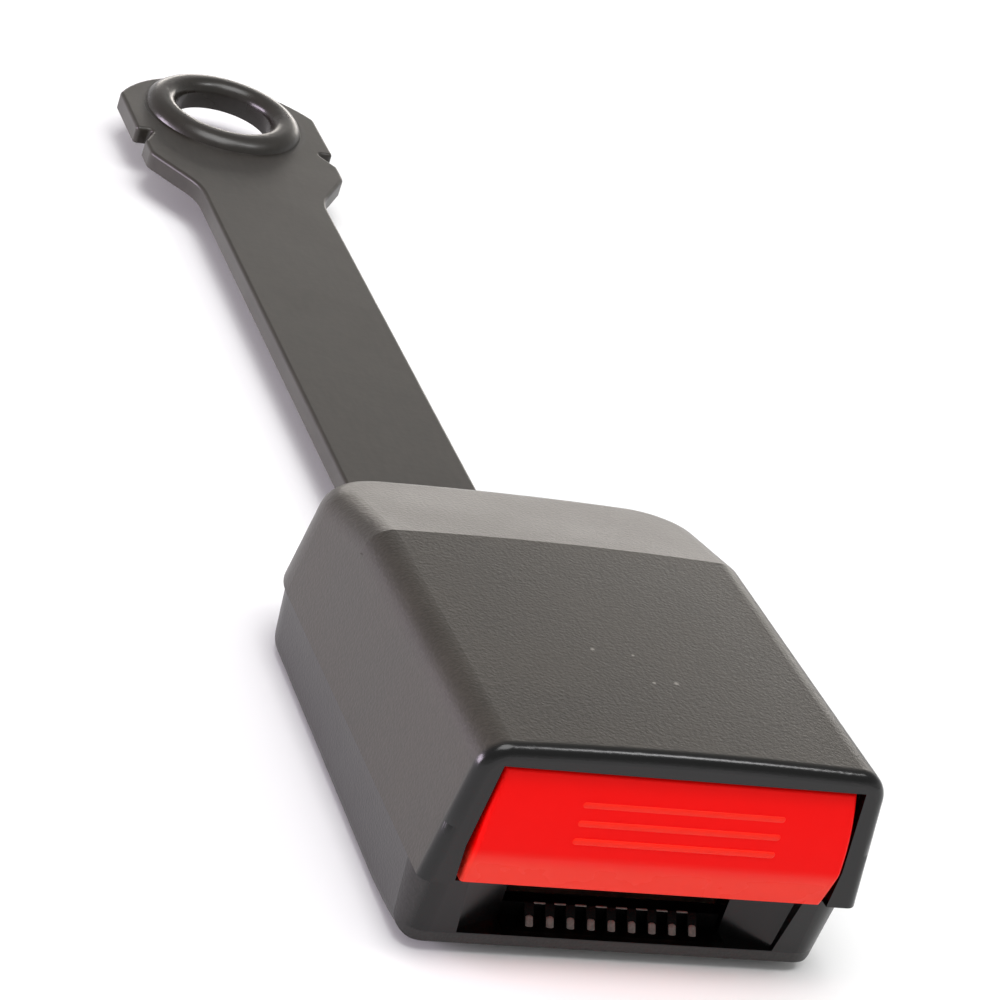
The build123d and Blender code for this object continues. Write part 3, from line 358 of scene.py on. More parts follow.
@dataclass(frozen=True)
class DippedSteel(Finish):
    """Pressed steel with a dipped black coat: even and satin, with the eye's bead glossy and darker as
    painted shade.
    """

    peel: float = 1.1 * MM          # the coat's orange peel
    peel_depth: float = 0.08 * MM
    peel_strength: float = 0.12
    mist: float = 16.0 * MM         # the size of the soft changes in its gloss
    mist_gloss: float = 0.05
    streak: float = 0.8 * MM        # the width of the streaks that the coat leaves as it runs off
    streak_squeeze: Point = (1.0, 0.25, 1.0)    # four times as long as wide, along the stalk
    streak_tones: Pair = (0.88, 1.12)
    dust_colour: str = "#5c5852"
    dust_spacing: float = 1.6 * MM
    dust: float = 0.02              # the share of the dust's places that have some
    dust_seed: float = 0.11
    bead_radius: float = 12.4 * MM  # of the bead round the eye, whose middle is the origin
    bead_fade: float = 0.6 * MM     # to each side of the bead's edge
    bead_roughness: float = 0.29
    # how dark the bead is painted: painted shade on its curved flanks
    bead_shade_tone: float = 0.75

    def pattern(self, tree: NodeTree, place: Socket) -> dict[str, Node | Socket]:
        """Adds orange peel, streaks, dust, a misty gloss and the glossy bead round the eye, painted darker as
        shade.

        Args:
            tree: the material's tree.
            place: the Object coordinates.

        Returns:
            Names of the shader's inputs, each with what feeds it.
        """
        add = partial(add_node, tree)
        flat = add("ShaderNodeVectorMath", (place, ONTO_PLAN), operation="MULTIPLY")
        reach = add("ShaderNodeVectorMath", (flat,), operation="LENGTH").outputs["Value"]
        edge = (self.bead_radius - self.bead_fade, self.bead_radius + self.bead_fade)
        away = add("ShaderNodeMapRange", (reach, *edge, 0.0, 1.0), **SOFT)
        mist = add("ShaderNodeTexNoise", {"Vector": place, "Scale": 1 / self.mist, "Detail": 4.0})
        misty = add("ShaderNodeMapRange", (mist, *BULK, -self.mist_gloss, self.mist_gloss), **SOFT)
        gloss = add("ShaderNodeMapRange", (away, 0.0, 1.0, self.bead_roughness, self.roughness), **SOFT)
        rough = add("ShaderNodeMath", (gloss, misty), operation="ADD")
        drawn = add("ShaderNodeMapping", {"Vector": place, "Scale": self.streak_squeeze})
        streaks = add("ShaderNodeTexNoise", {"Vector": drawn, "Scale": 1 / self.streak, "Detail": 4.0})
        streaky = add("ShaderNodeMapRange", (streaks, *BULK, *self.streak_tones), **SOFT)
        # The bead painted darker: painted shade.
        bead_shaded = add("ShaderNodeMapRange", (away, 0.0, 1.0, self.bead_shade_tone, 1.0), **SOFT)
        tone = add("ShaderNodeMath", (streaky, bead_shaded), operation="MULTIPLY")
        toned = add("ShaderNodeVectorMath", {0: linear(self.colour)[:3], "Scale": tone}, operation="SCALE")
        marks = speckle(tree, place, self.dust_spacing, self.dust, self.dust_seed)
        dust = add("ShaderNodeMath", (marks, away), operation="MULTIPLY")
        dusted = {0: dust, MIX_FIRST: toned, MIX_SECOND: linear(self.dust_colour)}
        colour = add("ShaderNodeMix", dusted, data_type="RGBA").outputs[MIX_RESULT]
        peel = add("ShaderNodeTexNoise", {"Vector": place, "Scale": 1 / self.peel, "Detail": 1.0})
        relief = add(
            "ShaderNodeBump", {"Height": peel, "Strength": self.peel_strength, "Distance": self.peel_depth}
        )
        return {"Base Color": colour, "Roughness": rough, "Normal": relief}


@dataclass(frozen=True)
class MouldedColour(Finish):
    """Coloured ABS: a finely etched face above, and a polished band below, painted paler as the floor's
    reflection.
    """

    band_z: float = 10.6 * MM       # the knee between the etched face and the polished band
    band_fades: Pair = (-2.0 * MM, 1.0 * MM)
    band_gloss: Pair = (-0.05, 0.12)    # added to the roughness of the band and of the face
    # the band's paler red: a painted reflection of the pale floor in front
    floor_reflection_colour: str = "#f2382a"
    flow: float = 5.0 * MM          # the size of the flow marks in its gloss
    flow_gloss: float = 0.01
    etching: float = 0.3 * MM       # the real etching is about 0.05 mm, drawn coarser so that it shows
    etching_depth: float = 0.03 * MM
    etching_strength: float = 0.08

    def pattern(self, tree: NodeTree, place: Socket) -> dict[str, Node | Socket]:
        """Adds the etched face, the polished band with its painted reflection of the floor, and flow marks.

        Args:
            tree: the material's tree.
            place: the Object coordinates.

        Returns:
            Names of the shader's inputs, each with what feeds it.
        """
        add = partial(add_node, tree)
        up = add("ShaderNodeSeparateXYZ", {"Vector": place}).outputs["Z"]
        knee = tuple(self.band_z + fade for fade in self.band_fades)
        etched = add("ShaderNodeMapRange", (up, *knee, 0.0, 1.0), **SOFT)
        gloss = (self.roughness + change for change in self.band_gloss)
        parted = add("ShaderNodeMapRange", (etched, 0.0, 1.0, *gloss), **SOFT)
        flow = add("ShaderNodeTexNoise", {"Vector": place, "Scale": 1 / self.flow, "Detail": 3.0})
        marked = add("ShaderNodeMapRange", (flow, *BULK, -self.flow_gloss, self.flow_gloss), **SOFT)
        rough = add("ShaderNodeMath", (parted, marked), operation="ADD")
        # The band takes the paler red of the painted reflection, the etched face its plain colour.
        shades = {0: etched, MIX_FIRST: linear(self.floor_reflection_colour), MIX_SECOND: linear(self.colour)}
        colour = add("ShaderNodeMix", shades, data_type="RGBA").outputs[MIX_RESULT]
        etching = add("ShaderNodeTexNoise", {"Vector": place, "Scale": 1 / self.etching, "Detail": 2.0})
        strength = add("ShaderNodeMath", (etched, self.etching_strength), operation="MULTIPLY")
        relief = add(
            "ShaderNodeBump", {"Height": etching, "Strength": strength, "Distance": self.etching_depth}
        )
        return {"Base Color": colour, "Roughness": rough, "Normal": relief}


@dataclass(frozen=True)
class WorkedMetal(Finish):
    """Plated, ground or drawn steel: bright, with fine lines along the way it was worked."""

    coat: Coat = Coat.BARE_METAL
    squeeze: Point = (1.0, 0.08, 1.0)   # draws the lines out along the axis with the small number
    line: float = 0.25 * MM         # the real lines are about 0.05 mm, drawn coarser so that they show
    line_depth: float = 0.03 * MM
    line_strength: float = 0.1
    line_gloss: Pair = (-0.07, 0.08)    # added to the roughness
    cloud: float = 9.0 * MM         # the size of the soft changes in its tone
    cloud_tones: Pair = (0.85, 1.1)

    def pattern(self, tree: NodeTree, place: Socket) -> dict[str, Node | Socket]:
        """Adds the lines of working and a cloudy tone.

        Args:
            tree: the material's tree.
            place: the Object coordinates.

        Returns:
            Names of the shader's inputs, each with what feeds it.
        """
        add = partial(add_node, tree)
        drawn = add("ShaderNodeMapping", {"Vector": place, "Scale": self.squeeze})
        lines = add("ShaderNodeTexNoise", {"Vector": drawn, "Scale": 1 / self.line, "Detail": 2.0})
        gloss = (self.roughness + change for change in self.line_gloss)
        rough = add("ShaderNodeMapRange", (lines, *BULK, *gloss), **SOFT)
        cloud = add("ShaderNodeTexNoise", {"Vector": place, "Scale": 1 / self.cloud, "Detail": 4.0})
        tone = add("ShaderNodeMapRange", (cloud, *BULK, *self.cloud_tones), **SOFT)
        colour = add("ShaderNodeVectorMath", {0: linear(self.colour)[:3], "Scale": tone}, operation="SCALE")
        relief = add(
            "ShaderNodeBump", {"Height": lines, "Strength": self.line_strength, "Distance": self.line_depth}
        )
        return {"Base Color": colour, "Roughness": rough, "Normal": relief}


# Steel dipped in black enamel: a warm black with an even satin sheen, and a wet gloss on the eye's bead.
# The eye's bead is painted darker, as painted shade on its curved flanks.
STALK_COAT = DippedSteel("black_dipped_pressed_steel", "#28241f", 0.4, Coat.PAINT, specular=0.48)

# Grained polypropylene: it greys in low light from behind, but its polished front rim stays glossy black.
COVER_PLASTIC = GrainedPlastic(
    "black_grained_polypropylene", "#2c2822", 0.42, specular=0.42, grain=0.4 * MM,
    polished=PolishedFront(FRONT_Y + 0.8 * MM),
    nicks_mm=((3.4, 15.4, 0.24), (0.6, 15.1, 0.16), (-4.6, 21.2, 0.2), (0.1, 20.6, 0.15)),
)

# The same polypropylene, less handled: few scuffs, and a polished mouth painted near black as the shade in
# its depth.
BASE_PLASTIC = GrainedPlastic(
    "black_grained_polypropylene_base_shaded_mouth", "#252322", 0.4, specular=0.4, scuffs=0.004,
    polished=PolishedFront(FRONT_Y + 12.0 * MM, half_width=23.6 * MM, low_z=-1.9 * MM, colour="#020202"),
)

# Acetal out of a polished tool, for the tongue to slide on: painted near black as the shade deep in the
# mouth, with faint sharp glints.
GUIDE_PLASTIC = GrainedPlastic(
    "black_polished_acetal_guide_painted_shade", "#040404", 0.25, specular=0.08, grain_strength=0.05, scuffs=0.0
)

# The same acetal, grey and shining: painted glints on the feet of the ribs and the sills, so that they stand
# out.
GUIDE_EDGE_PAINTED_GLINT = GrainedPlastic(
    "acetal_edge_painted_glint", "#6a6460", 0.2, grain_strength=0.03, scuffs=0.0, worn_colour="#7a7570"
)

# ABS coloured right through: a full signal red with so weak a sheen that it doesn't pale in bright light.
# Its lower band is painted paler, as a painted reflection of the floor.
BUTTON_RED = MouldedColour("red_moulded_abs", "#f20200", 0.32, specular=0.1)

# The same ABS, glossier, and painted slightly paler as the highlight that the raised lines catch, which draws
# them.
PAINTED_HIGHLIGHT_RED = MouldedColour("red_moulded_abs_painted_highlight", "#f6230f", 0.24, specular=0.16)

# Acetal, moulded in a plain tool: a waxy dark grey.
SLIDER_PLASTIC = GrainedPlastic("black_acetal_slider", "#161616", 0.38, grain_strength=0.1, scuffs=0.0)

# Acetal without dye: a waxy off-white.
EJECTOR_PLASTIC = GrainedPlastic("natural_acetal_ejector", "#d9d6cb", 0.4, grain_strength=0.08, scuffs=0.0)

# Pressed and zinc plated: a pale, slightly warm grey with lines along the strip.
FRAME_STEEL = WorkedMetal("zinc_plated_frame_steel", "#a8a59c", 0.38)

# Hardened and oiled: a darker grey, with its grinding lines across.
LATCH_STEEL = WorkedMetal("hardened_oiled_latch_steel", "#6c6b6a", 0.34, squeeze=(0.08, 1.0, 1.0))

# Ground to size: nearly a mirror, with very fine lines round it.
PIN_STEEL = WorkedMetal("ground_pin_steel", "#c9c9cb", 0.2, squeeze=(1.0, 0.3, 0.3), line=0.12 * MM)

# Phosphated: a dull charcoal.
CLIP_STEEL = WorkedMetal("phosphated_clip_steel", "#3c3c3e", 0.5)

# Zinc plated after forming: pale, and brighter than the frame.
RIVET_STEEL = WorkedMetal("zinc_plated_rivet_steel", "#b4b1a8", 0.32)

# Hard drawn wire: bright, with fine drawing lines that break up its highlights.
SPRING_WIRE = WorkedMetal("drawn_spring_wire", "#b9babd", 0.25, line=0.1 * MM)

# Strip tempered blue: a cool slate grey.
LEAF_STEEL = WorkedMetal("blued_spring_steel_strip", "#5d6474", 0.3)

# Black zinc over steel: dark, with a faint brown shine.
SCREW_STEEL = WorkedMetal("black_zinc_screw_steel", "#34332f", 0.35)

# Matt emulsion paint: a white that only takes the object's shadow.
STUDIO_PAINT = Finish("white_studio_floor", "#f6f6f6", 0.9)


# ---- Geometry trees ------------------------------------------------------------------------
@dataclass
class Tree:
    """A geometry tree with named inputs, run once and turned into a plain mesh."""

    name: str
    values: dict[str, float | Point]

    def __post_init__(self) -> None:
        """Opens the tree and makes its inputs."""
        self.group = bpy.data.node_groups.new(self.name, "GeometryNodeTree")
        self.group.interface.new_socket("Geometry", in_out="OUTPUT", socket_type="NodeSocketGeometry")
        self.add = partial(add_node, self.group)
        self.identifiers: dict[str, str] = {}
        kinds = {int: "NodeSocketInt", float: "NodeSocketFloat", tuple: "NodeSocketVector"}
        for label, value in self.values.items():
            socket = self.group.interface.new_socket(label, in_out="INPUT", socket_type=kinds[type(value)])
            self.identifiers[label] = socket.identifier
        self.entry = self.add("NodeGroupInput")
        self.exit = self.add("NodeGroupOutput")

    def given(self, label: str) -> Socket:
        """The socket of a named input."""
        return self.entry.outputs[label]

    def close(self, geometry: Node, finish: Finish) -> None:
        """Ends the tree in real geometry with its material.

        Args:
            geometry: the node whose geometry it gives.
            finish: what all of it is made of.
        """
        real = self.add("GeometryNodeRealizeInstances", {"Geometry": geometry})
        painted = self.add("GeometryNodeSetMaterial", {"Geometry": real, "Material": finish.material()})
        feed(self.group, self.exit, {"Geometry": painted})

    def mesh(self) -> bpy.types.Mesh:
        """Runs the tree on an empty object.

        Returns:
            A plain, smooth mesh with outward normals.
        """
        carrier = new_piece(self.name + "_carrier", bpy.data.meshes.new(self.name + "_carrier"))
        modifier = carrier.modifiers.new("shape", "NODES")
        modifier.node_group = self.group
        for label, value in self.values.items():
            modifier[self.identifiers[label]] = value
        depsgraph = bpy.context.evaluated_depsgraph_get()
        made = bpy.data.meshes.new_from_object(carrier.evaluated_get(depsgraph), depsgraph=depsgraph)
        made.name = self.name
        made.shade_smooth()
        carrier.modifiers.remove(modifier)
        bpy.data.objects.remove(carrier)
        return made


@dataclass(frozen=True)
class BarRow:
    """Equal bars with round ends in a straight row. Each is a ball parted at its middle."""

    name: str
    first: Point                    # the middle of the first bar
    step: Point                     # from one bar to the next
    count: int
    half_length: float              # of the straight part
    radii: Point                    # of the ends, along the bar, across it and through it
    turn: Point = (0.0, 0.0, 0.0)   # of each bar, whose length starts out along X
    segments: int = 24
    rings: int = 12

    def mesh(self, finish: Finish) -> bpy.types.Mesh:
        """Sets the bars out with a geometry tree.

        Args:
            finish: what they are made of.

        Returns:
            The mesh of the whole row.
        """
        tree = Tree(self.name, {
            "First": self.first, "Step": self.step, "Count": self.count,
            "Half Length": self.half_length, "Radii": self.radii,
        })
        add, given = tree.add, tree.given
        ball = add("GeometryNodeMeshUVSphere", (self.segments, self.rings, 1.0))
        place = add("GeometryNodeInputPosition")
        along = add("ShaderNodeSeparateXYZ", {"Vector": place}).outputs["X"]
        side = add("ShaderNodeMath", (along,), operation="SIGN")
        shift = add("ShaderNodeMath", (side, given("Half Length")), operation="MULTIPLY")
        parted = add("ShaderNodeCombineXYZ", {"X": shift})
        sized = add("ShaderNodeVectorMath", (place, given("Radii")), operation="MULTIPLY")
        formed = add("ShaderNodeVectorMath", (sized, parted), operation="ADD")
        bar = add("GeometryNodeSetPosition", {"Geometry": ball, "Position": formed})
        row = add("GeometryNodeMeshLine", {
            "Count": given("Count"), "Start Location": given("First"), "Offset": given("Step"),
        })
        bars = add("GeometryNodeInstanceOnPoints", {"Points": row, "Instance": bar, "Rotation": self.turn})
        tree.close(bars, finish)
        return tree.mesh()


# ---- Sub-assemblies ------------------------------------------------------------------------
@dataclass
class CarriedPieces:
    """The pieces whose solids already have their full form, each with its finish."""

    finishes: dict[str, Finish] = field(default_factory=lambda: {
        "anchor_strap": STALK_COAT,
        "upper_cover": COVER_PLASTIC,
        "lower_cover": BASE_PLASTIC,
        "tongue_guide": GUIDE_PLASTIC,
        "frame": FRAME_STEEL,
        "strap_rivets": RIVET_STEEL,
        "latch_plate": LATCH_STEEL,
        "lift_pin": PIN_STEEL,
        "pivot_pin": PIN_STEEL,
        "pivot_clips": CLIP_STEEL,
        "press_button": BUTTON_RED,
        "button_slider": SLIDER_PLASTIC,
        "ejector": EJECTOR_PLASTIC,
        "ejector_guide_rod": PIN_STEEL,
        "spring_carrier": SLIDER_PLASTIC,
        "cover_screws": SCREW_STEEL,
    })

    def build(self) -> None:
        """Gives every carried-over piece its material."""
        for name, finish in self.finishes.items():
            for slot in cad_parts[name].material_slots:
                slot.link = "OBJECT"
                slot.material = finish.material()
            LOG.info("%s: %s", name, finish.name)


@dataclass(frozen=True)
class CoilSpring:
    """A compression spring along Y with closed ends, wound where its plain solid lies."""

    node: str                       # the plain solid that it stands for
    joint: str                      # what shortens it
    radius: float                   # outside
    wire: float
    turns: float                    # the closed ones included
    closed: float = 1.15            # turns at each end that lie wire on wire
    steps_per_turn: int = 28
    sides: int = 12                 # of the wire's section

    def mesh(self, start: Point, length: float) -> bpy.types.Mesh:
        """Winds the spring with a geometry tree.

        Args:
            start: the middle of its front end.
            length: its length as fitted.

        Returns:
            The mesh.
        """
        tree = Tree(self.node + "_coil", {
            "Start": start, "Middle Radius": self.radius - self.wire / 2, "Wire": self.wire,
            "Middle Length": length - self.wire, "Turns": self.turns, "Closed Turns": self.closed,
            "Steps": int(self.turns * self.steps_per_turn),
        })
        add, given = tree.add, tree.given
        line = add("GeometryNodeMeshLine", {"Count": given("Steps")})
        curve = add("GeometryNodeMeshToCurve", {"Mesh": line})
        last = add("ShaderNodeMath", (given("Steps"), 1.0), operation="SUBTRACT")
        share = add("ShaderNodeMath", (add("GeometryNodeInputIndex"), last), operation="DIVIDE")
        turn = add("ShaderNodeMath", (share, given("Turns")), operation="MULTIPLY")

        # A closed turn goes on by one wire. The free turns share what is left of the length evenly.
        front = add("ShaderNodeMath", (given("Wire"), turn), operation="MULTIPLY")
        left = add("ShaderNodeMath", (given("Turns"), turn), operation="SUBTRACT")
        held = add("ShaderNodeMath", (given("Wire"), left), operation="MULTIPLY")
        rear = add("ShaderNodeMath", (given("Middle Length"), held), operation="SUBTRACT")
        opening = add("ShaderNodeMath", (given("Turns"), given("Closed Turns")), operation="SUBTRACT")
        stacked = add("ShaderNodeMath", (given("Wire"), given("Closed Turns")), operation="MULTIPLY")
        closing = add("ShaderNodeMath", (given("Middle Length"), stacked), operation="SUBTRACT")
        free = (given("Closed Turns"), opening, stacked, closing)
        even = add("ShaderNodeMapRange", (turn, *free), clamp=False)
        ahead = add("ShaderNodeMath", (front, even), operation="MAXIMUM")
        middle = add("ShaderNodeMath", (ahead, rear), operation="MINIMUM")
        half_wire = add("ShaderNodeMath", (given("Wire"), 0.5), operation="MULTIPLY")
        along = add("ShaderNodeMath", (middle, half_wire), operation="ADD")

        angle = add("ShaderNodeMath", (turn, 2 * pi), operation="MULTIPLY")
        cosine = add("ShaderNodeMath", (angle,), operation="COSINE")
        sine = add("ShaderNodeMath", (angle,), operation="SINE")
        across = add("ShaderNodeMath", (given("Middle Radius"), cosine), operation="MULTIPLY")
        up = add("ShaderNodeMath", (given("Middle Radius"), sine), operation="MULTIPLY")
        offset = add("ShaderNodeCombineXYZ", (across, along, up))
        where = add("ShaderNodeVectorMath", (offset, given("Start")), operation="ADD")
        wound = add("GeometryNodeSetPosition", {"Geometry": curve, "Position": where})
        section = add(
            "GeometryNodeCurvePrimitiveCircle", {"Resolution": self.sides, "Radius": half_wire}, mode="RADIUS"
        )
        swept = add("GeometryNodeCurveToMesh", {"Curve": wound, "Profile Curve": section, "Fill Caps": True})
        tree.close(swept, SPRING_WIRE)
        return tree.mesh()

    def build(self) -> None:
        """Puts the spring in place of its solid, at its fitted length, riding on the housing."""
        low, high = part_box(self.node)
        middle_x, middle_z = (low[0] + high[0]) / 2, (low[2] + high[2]) / 2
        length = high[1] - low[1]
        mesh = self.mesh((middle_x, low[1], middle_z), length)
        piece = finished(new_piece(mesh.name, mesh), "housing", "spring_wire", self.node)
        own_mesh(piece)


@dataclass
class Springs:
    """The three coil springs; in the buckle they shorten as the button and the ejector move, here they keep
    one length.
    """

    coils: tuple[CoilSpring, ...] = (
        CoilSpring("button_spring_left", "button_press", radius=1.6 * MM, wire=0.5 * MM, turns=10.0),
        CoilSpring("button_spring_right", "button_press", radius=1.6 * MM, wire=0.5 * MM, turns=10.0),
        CoilSpring("ejector_spring", "ejector_slide", radius=1.5 * MM, wire=0.45 * MM, turns=13.0),
    )

    def build(self) -> None:
        """Winds each spring."""
        for coil in self.coils:
            coil.build()


@dataclass
class LatchLeaf:
    """The leaf spring that presses the latch down; in the buckle it bends up with the latch, here it keeps
    one form.
    """

    thickness: float = 0.5 * MM
    width: float = LEAF_HIGH[0] - LEAF_LOW[0]
    root_y: float = LEAF_HIGH[1]
    seat_z: float = LEAF_HIGH[2] - thickness / 2    # the middle of the clamped strip
    bend_y: float = FRONT_Y + 53.0 * MM
    over_pivot: Pair = (FRONT_Y + 45.0 * MM, 10.1 * MM)
    tip: Pair = (FRONT_Y + 37.5 * MM, 7.68 * MM)
    toe: Pair = (FRONT_Y + 35.5 * MM, 8.8 * MM)
    corner_reach: float = 0.8 * MM  # how far from a corner its rounding starts
    corner_steps: int = 4
    pace: float = 0.6 * MM          # the most that lies between two sections

    def build(self) -> None:
        """Forms the leaf between the housing and the latch."""
        clamped = (self.root_y, self.seat_z), (self.bend_y, self.seat_z)
        corners = [Vector((0.0, *place)) for place in (*clamped, self.over_pivot, self.tip, self.toe)]
        piece = new_piece("latch_spring_leaf", self.strip(self.rounded(corners)))
        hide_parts("latch_spring")
        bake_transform(piece)
        LOG.info("%s: %d faces between housing and latch", piece.name, len(piece.data.polygons))

    def rounded(self, corners: list[Vector]) -> list[Vector]:
        """Rounds the corners of a path and fills its straight parts with points.

        Args:
            corners: the path's ends and corners.

        Returns:
            The points along the rounded path.
        """
        path = [corners[0]]
        shares = [step / self.corner_steps for step in range(self.corner_steps + 1)]
        for before, corner, after in zip(corners, corners[1:], corners[2:]):
            entry = corner + (before - corner).normalized() * self.corner_reach
            leave = corner + (after - corner).normalized() * self.corner_reach
            path += [entry.lerp(corner, t).lerp(corner.lerp(leave, t), t) for t in shares]
        path.append(corners[-1])
        filled = [path[0]]
        for start, end in zip(path, path[1:]):
            parts = max(1, round((end - start).length / self.pace))
            filled += [start.lerp(end, i / parts) for i in range(1, parts + 1)]
        return filled

    def strip(self, path: list[Vector]) -> bpy.types.Mesh:
        """Draws the strip with broken edges along a path that lies across X.

        Args:
            path: the middle of the strip.

        Returns:
            The closed mesh.
        """
        wide, thick, broken = self.width / 2, self.thickness / 2, self.thickness / 5
        outline = (
            (wide - broken, thick), (wide, thick - broken), (wide, broken - thick), (wide - broken, -thick),
            (broken - wide, -thick), (-wide, broken - thick), (-wide, thick - broken), (broken - wide, thick),
        )
        form = bmesh.new()
        rings = []
        for before, here, after in zip([path[0], *path], path, [*path[1:], path[-1]]):
            along = (after - before).normalized()
            up = Vector((1.0, 0.0, 0.0)).cross(along)
            rings.append([form.verts.new(here + Vector((x, 0.0, 0.0)) + up * h) for x, h in outline])
        for ring, following in zip(rings, rings[1:]):
            for i, corner in enumerate(ring):
                form.faces.new((corner, ring[i - 1], following[i - 1], following[i]))
        form.faces.new(rings[0])
        form.faces.new(reversed(rings[-1]))
        bmesh.ops.recalc_face_normals(form, faces=form.faces)
        mesh = bpy.data.meshes.new("latch_spring_leaf")
        form.to_mesh(mesh)
        form.free()
        mesh.materials.append(LEAF_STEEL.material())
        return mesh


@dataclass
class GuideEdges:
    """Bars on the mouth's guide, at the feet of its ribs and as sills between them, painted grey as glints.
    """

    rib_count: int = 9
    pitch: float = 2.46 * MM
    rib_width: float = 1.1 * MM
    ramp_front: Pair = (FRONT_Y + 3.6 * MM, -1.75 * MM)     # Y and Z of the ramp's lower edge
    ramp_rear: Pair = (FRONT_Y + 5.4 * MM, GUIDE_TOP_Z)     # and of its upper edge
    foot_share: float = 0.2         # how far up the ramp the feet of the ribs lie
    foot_half_length: float = 0.42 * MM
    foot_radii: Point = (0.3 * MM, 0.42 * rib_width, 0.16 * MM)
    sill_inset: float = 0.1 * MM    # between a sill's straight part and the rib beside it
    sill_radii: Point = (0.12 * MM, 0.14 * MM, 0.1 * MM)

    def build(self) -> None:
        """Lays the rounded feet and the sills on the guide."""
        run, rise = (high - low for low, high in zip(self.ramp_front, self.ramp_rear))
        foot_y = self.ramp_front[0] + run * self.foot_share
        foot_z = self.ramp_front[1] + rise * self.foot_share
        first_x = -self.pitch * (self.rib_count - 1) / 2
        step = (self.pitch, 0.0, 0.0)
        feet = BarRow(
            "guide_rib_feet", first=(first_x, foot_y, foot_z), step=step, count=self.rib_count,
            half_length=self.foot_half_length, radii=self.foot_radii, turn=(0.0, -atan2(rise, run), pi / 2),
        )
        sills = BarRow(
            "guide_sills", first=(first_x + self.pitch / 2, *self.ramp_rear), step=step,
            count=self.rib_count - 1, half_length=(self.pitch - self.rib_width) / 2 - self.sill_inset,
            radii=self.sill_radii,
        )
        # Both rows are painted grey as glints.
        for row in (feet, sills):
            finished(new_piece(row.name, row.mesh(GUIDE_EDGE_PAINTED_GLINT)), "housing", "guide_plastic")


@dataclass
class TactileBars:
    """Three raised lines that the thumb feels on the face of the button."""

    half_length: float = 11.6 * MM
    middle_x: float = 0.9 * MM
    rise: float = 0.18 * MM
    half_width: float = 0.42 * MM
    # The height of each line, and Y from the housing's front to the button's curved face there.
    places: tuple[Pair, ...] = ((13.0 * MM, -0.80 * MM), (15.1 * MM, -0.50 * MM), (17.2 * MM, -0.12 * MM))

    def build(self) -> None:
        """Puts the lines on the button."""
        for number, (height, depth) in enumerate(self.places, start=1):
            row = BarRow(
                f"tactile_bar_{number}", first=(self.middle_x, FRONT_Y + depth, height), step=(0.0, 0.0, 0.0),
                count=1, half_length=self.half_length, radii=(self.half_width, self.rise, self.half_width),
            )
            # Each line takes the paler red of the painted highlight.
            finished(new_piece(row.name, row.mesh(PAINTED_HIGHLIGHT_RED)), "button", "button_red")


# ---- Stage ---------------------------------------------------------------------------------
@dataclass(frozen=True)
class Lamp:
    """A soft rectangular light."""

    name: str
    place: Point
    width: float                    # metres
    height: float
    power: float                    # watts
    tint: str = "#ffffff"

    def hang(self, target: Point) -> None:
        """Hangs the lamp so that it faces a point.

        Args:
            target: the point that it faces.
        """
        light = bpy.data.lights.new(self.name, "AREA")
        light.shape = "RECTANGLE"
        light.energy = self.power
        light.size = self.width
        light.size_y = self.height
        light.color = linear(self.tint)[:3]
        holder = bpy.data.objects.new(self.name, light)
        holder.location = self.place
        aim = Vector(target) - Vector(self.place)
        holder.rotation_euler = aim.to_track_quat("-Z", "Y").to_euler()
        bpy.context.scene.collection.objects.link(holder)


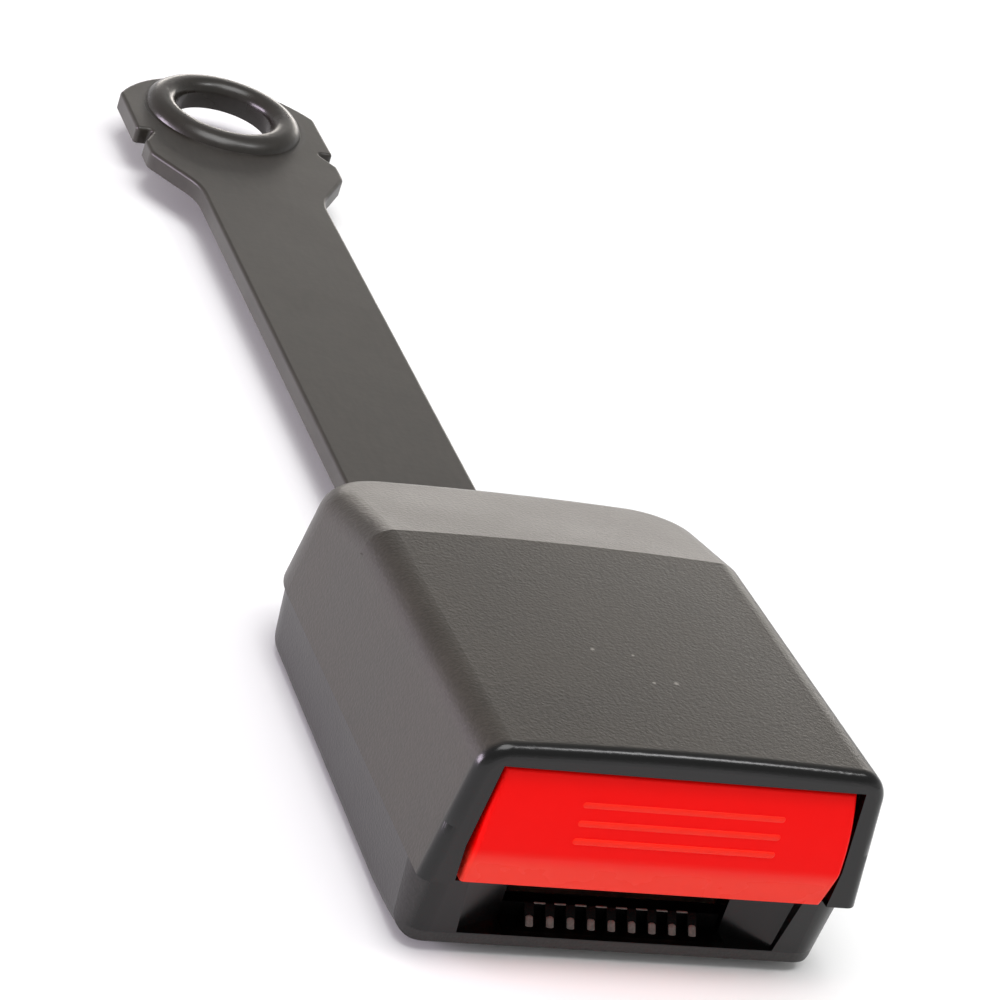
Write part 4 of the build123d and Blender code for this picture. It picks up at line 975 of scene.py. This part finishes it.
@dataclass
class Studio:
    """A pale floor, soft light from above, behind and the left, and the camera."""

    floor_z: float = cad_box[0][2] - 0.05 * MM  # just clear of the housing's underside
    floor_reach: float = 6.0
    camera_place: Point = (-0.1861536, -0.4900468, 0.2294955)
    camera_turn_degrees: Point = (61.106488, -17.154569, -17.734606)
    lens_mm: float = 140.5356
    sensor_mm: float = 36.0
    nearest: float = 0.01           # the camera shows nothing closer
    target: Point = (0.0, -0.12, 0.01)
    lamps: tuple[Lamp, ...] = (
        Lamp("softbox_above", (-0.1, -0.25, 1.1), 0.7, 0.7, 8.2),
        Lamp("strip_right", (0.5, -0.32, 1.0), 0.22, 0.22, 2.2),
        Lamp("softbox_behind", (0.9, 1.85, 0.2), 1.6, 0.36, 10.5, "#fff8f0"),
        Lamp("softbox_left", (-1.0, 0.1, 0.16), 0.7, 0.3, 11.5, "#f6e6fb"),
    )
    horizon: float = 0.8            # how bright the room is up to the first of two heights
    zenith: float = 0.46            # and from the second one up
    fade_heights: Pair = (0.1, 0.34)    # each the sine of an angle above the horizon

    def camera(self) -> None:
        """Sets the camera."""
        camera = bpy.data.cameras.new("camera")
        camera.lens = self.lens_mm
        camera.sensor_width = self.sensor_mm
        camera.clip_start = self.nearest
        holder = bpy.data.objects.new("camera", camera)
        holder.location = self.camera_place
        holder.rotation_euler = Euler([radians(a) for a in self.camera_turn_degrees], "XYZ")
        bpy.context.scene.collection.objects.link(holder)
        bpy.context.scene.camera = holder

    def floor(self) -> None:
        """Lays the floor."""
        form = bmesh.new()
        bmesh.ops.create_grid(form, x_segments=1, y_segments=1, size=self.floor_reach)
        mesh = bpy.data.meshes.new("floor")
        form.to_mesh(mesh)
        form.free()
        mesh.transform(Matrix.Translation((0, 0, self.floor_z)))
        mesh.materials.append(STUDIO_PAINT.material())
        new_piece("floor", mesh)

    def room(self) -> None:
        """Lights the room, bright along the horizon and dim above, so that only steep faces take a sheen."""
        world = bpy.data.worlds.new("soft_white_room")
        world.use_nodes = True
        tree = world.node_tree
        add = partial(add_node, tree)
        direction = add("ShaderNodeTexCoord").outputs["Generated"]
        height = add("ShaderNodeSeparateXYZ", {"Vector": direction}).outputs["Z"]
        glow = add("ShaderNodeMapRange", (height, *self.fade_heights, self.horizon, self.zenith), **SOFT)
        feed(tree, tree.nodes["Background"], {"Color": linear("#ffffff"), "Strength": glow})
        bpy.context.scene.world = world
        bpy.context.scene.view_settings.view_transform = "Standard"

    def build(self) -> None:
        """Builds the whole stage."""
        self.camera()
        self.floor()
        for lamp in self.lamps:
            lamp.hang(self.target)
        self.room()


def main() -> None:
    """Builds the buckle's looks."""
    logging.basicConfig(level=logging.INFO, format="%(message)s")
    Studio().build()
    CarriedPieces().build()
    Springs().build()
    LatchLeaf().build()
    GuideEdges().build()
    TactileBars().build()


if __name__ == "__main__":
    main()
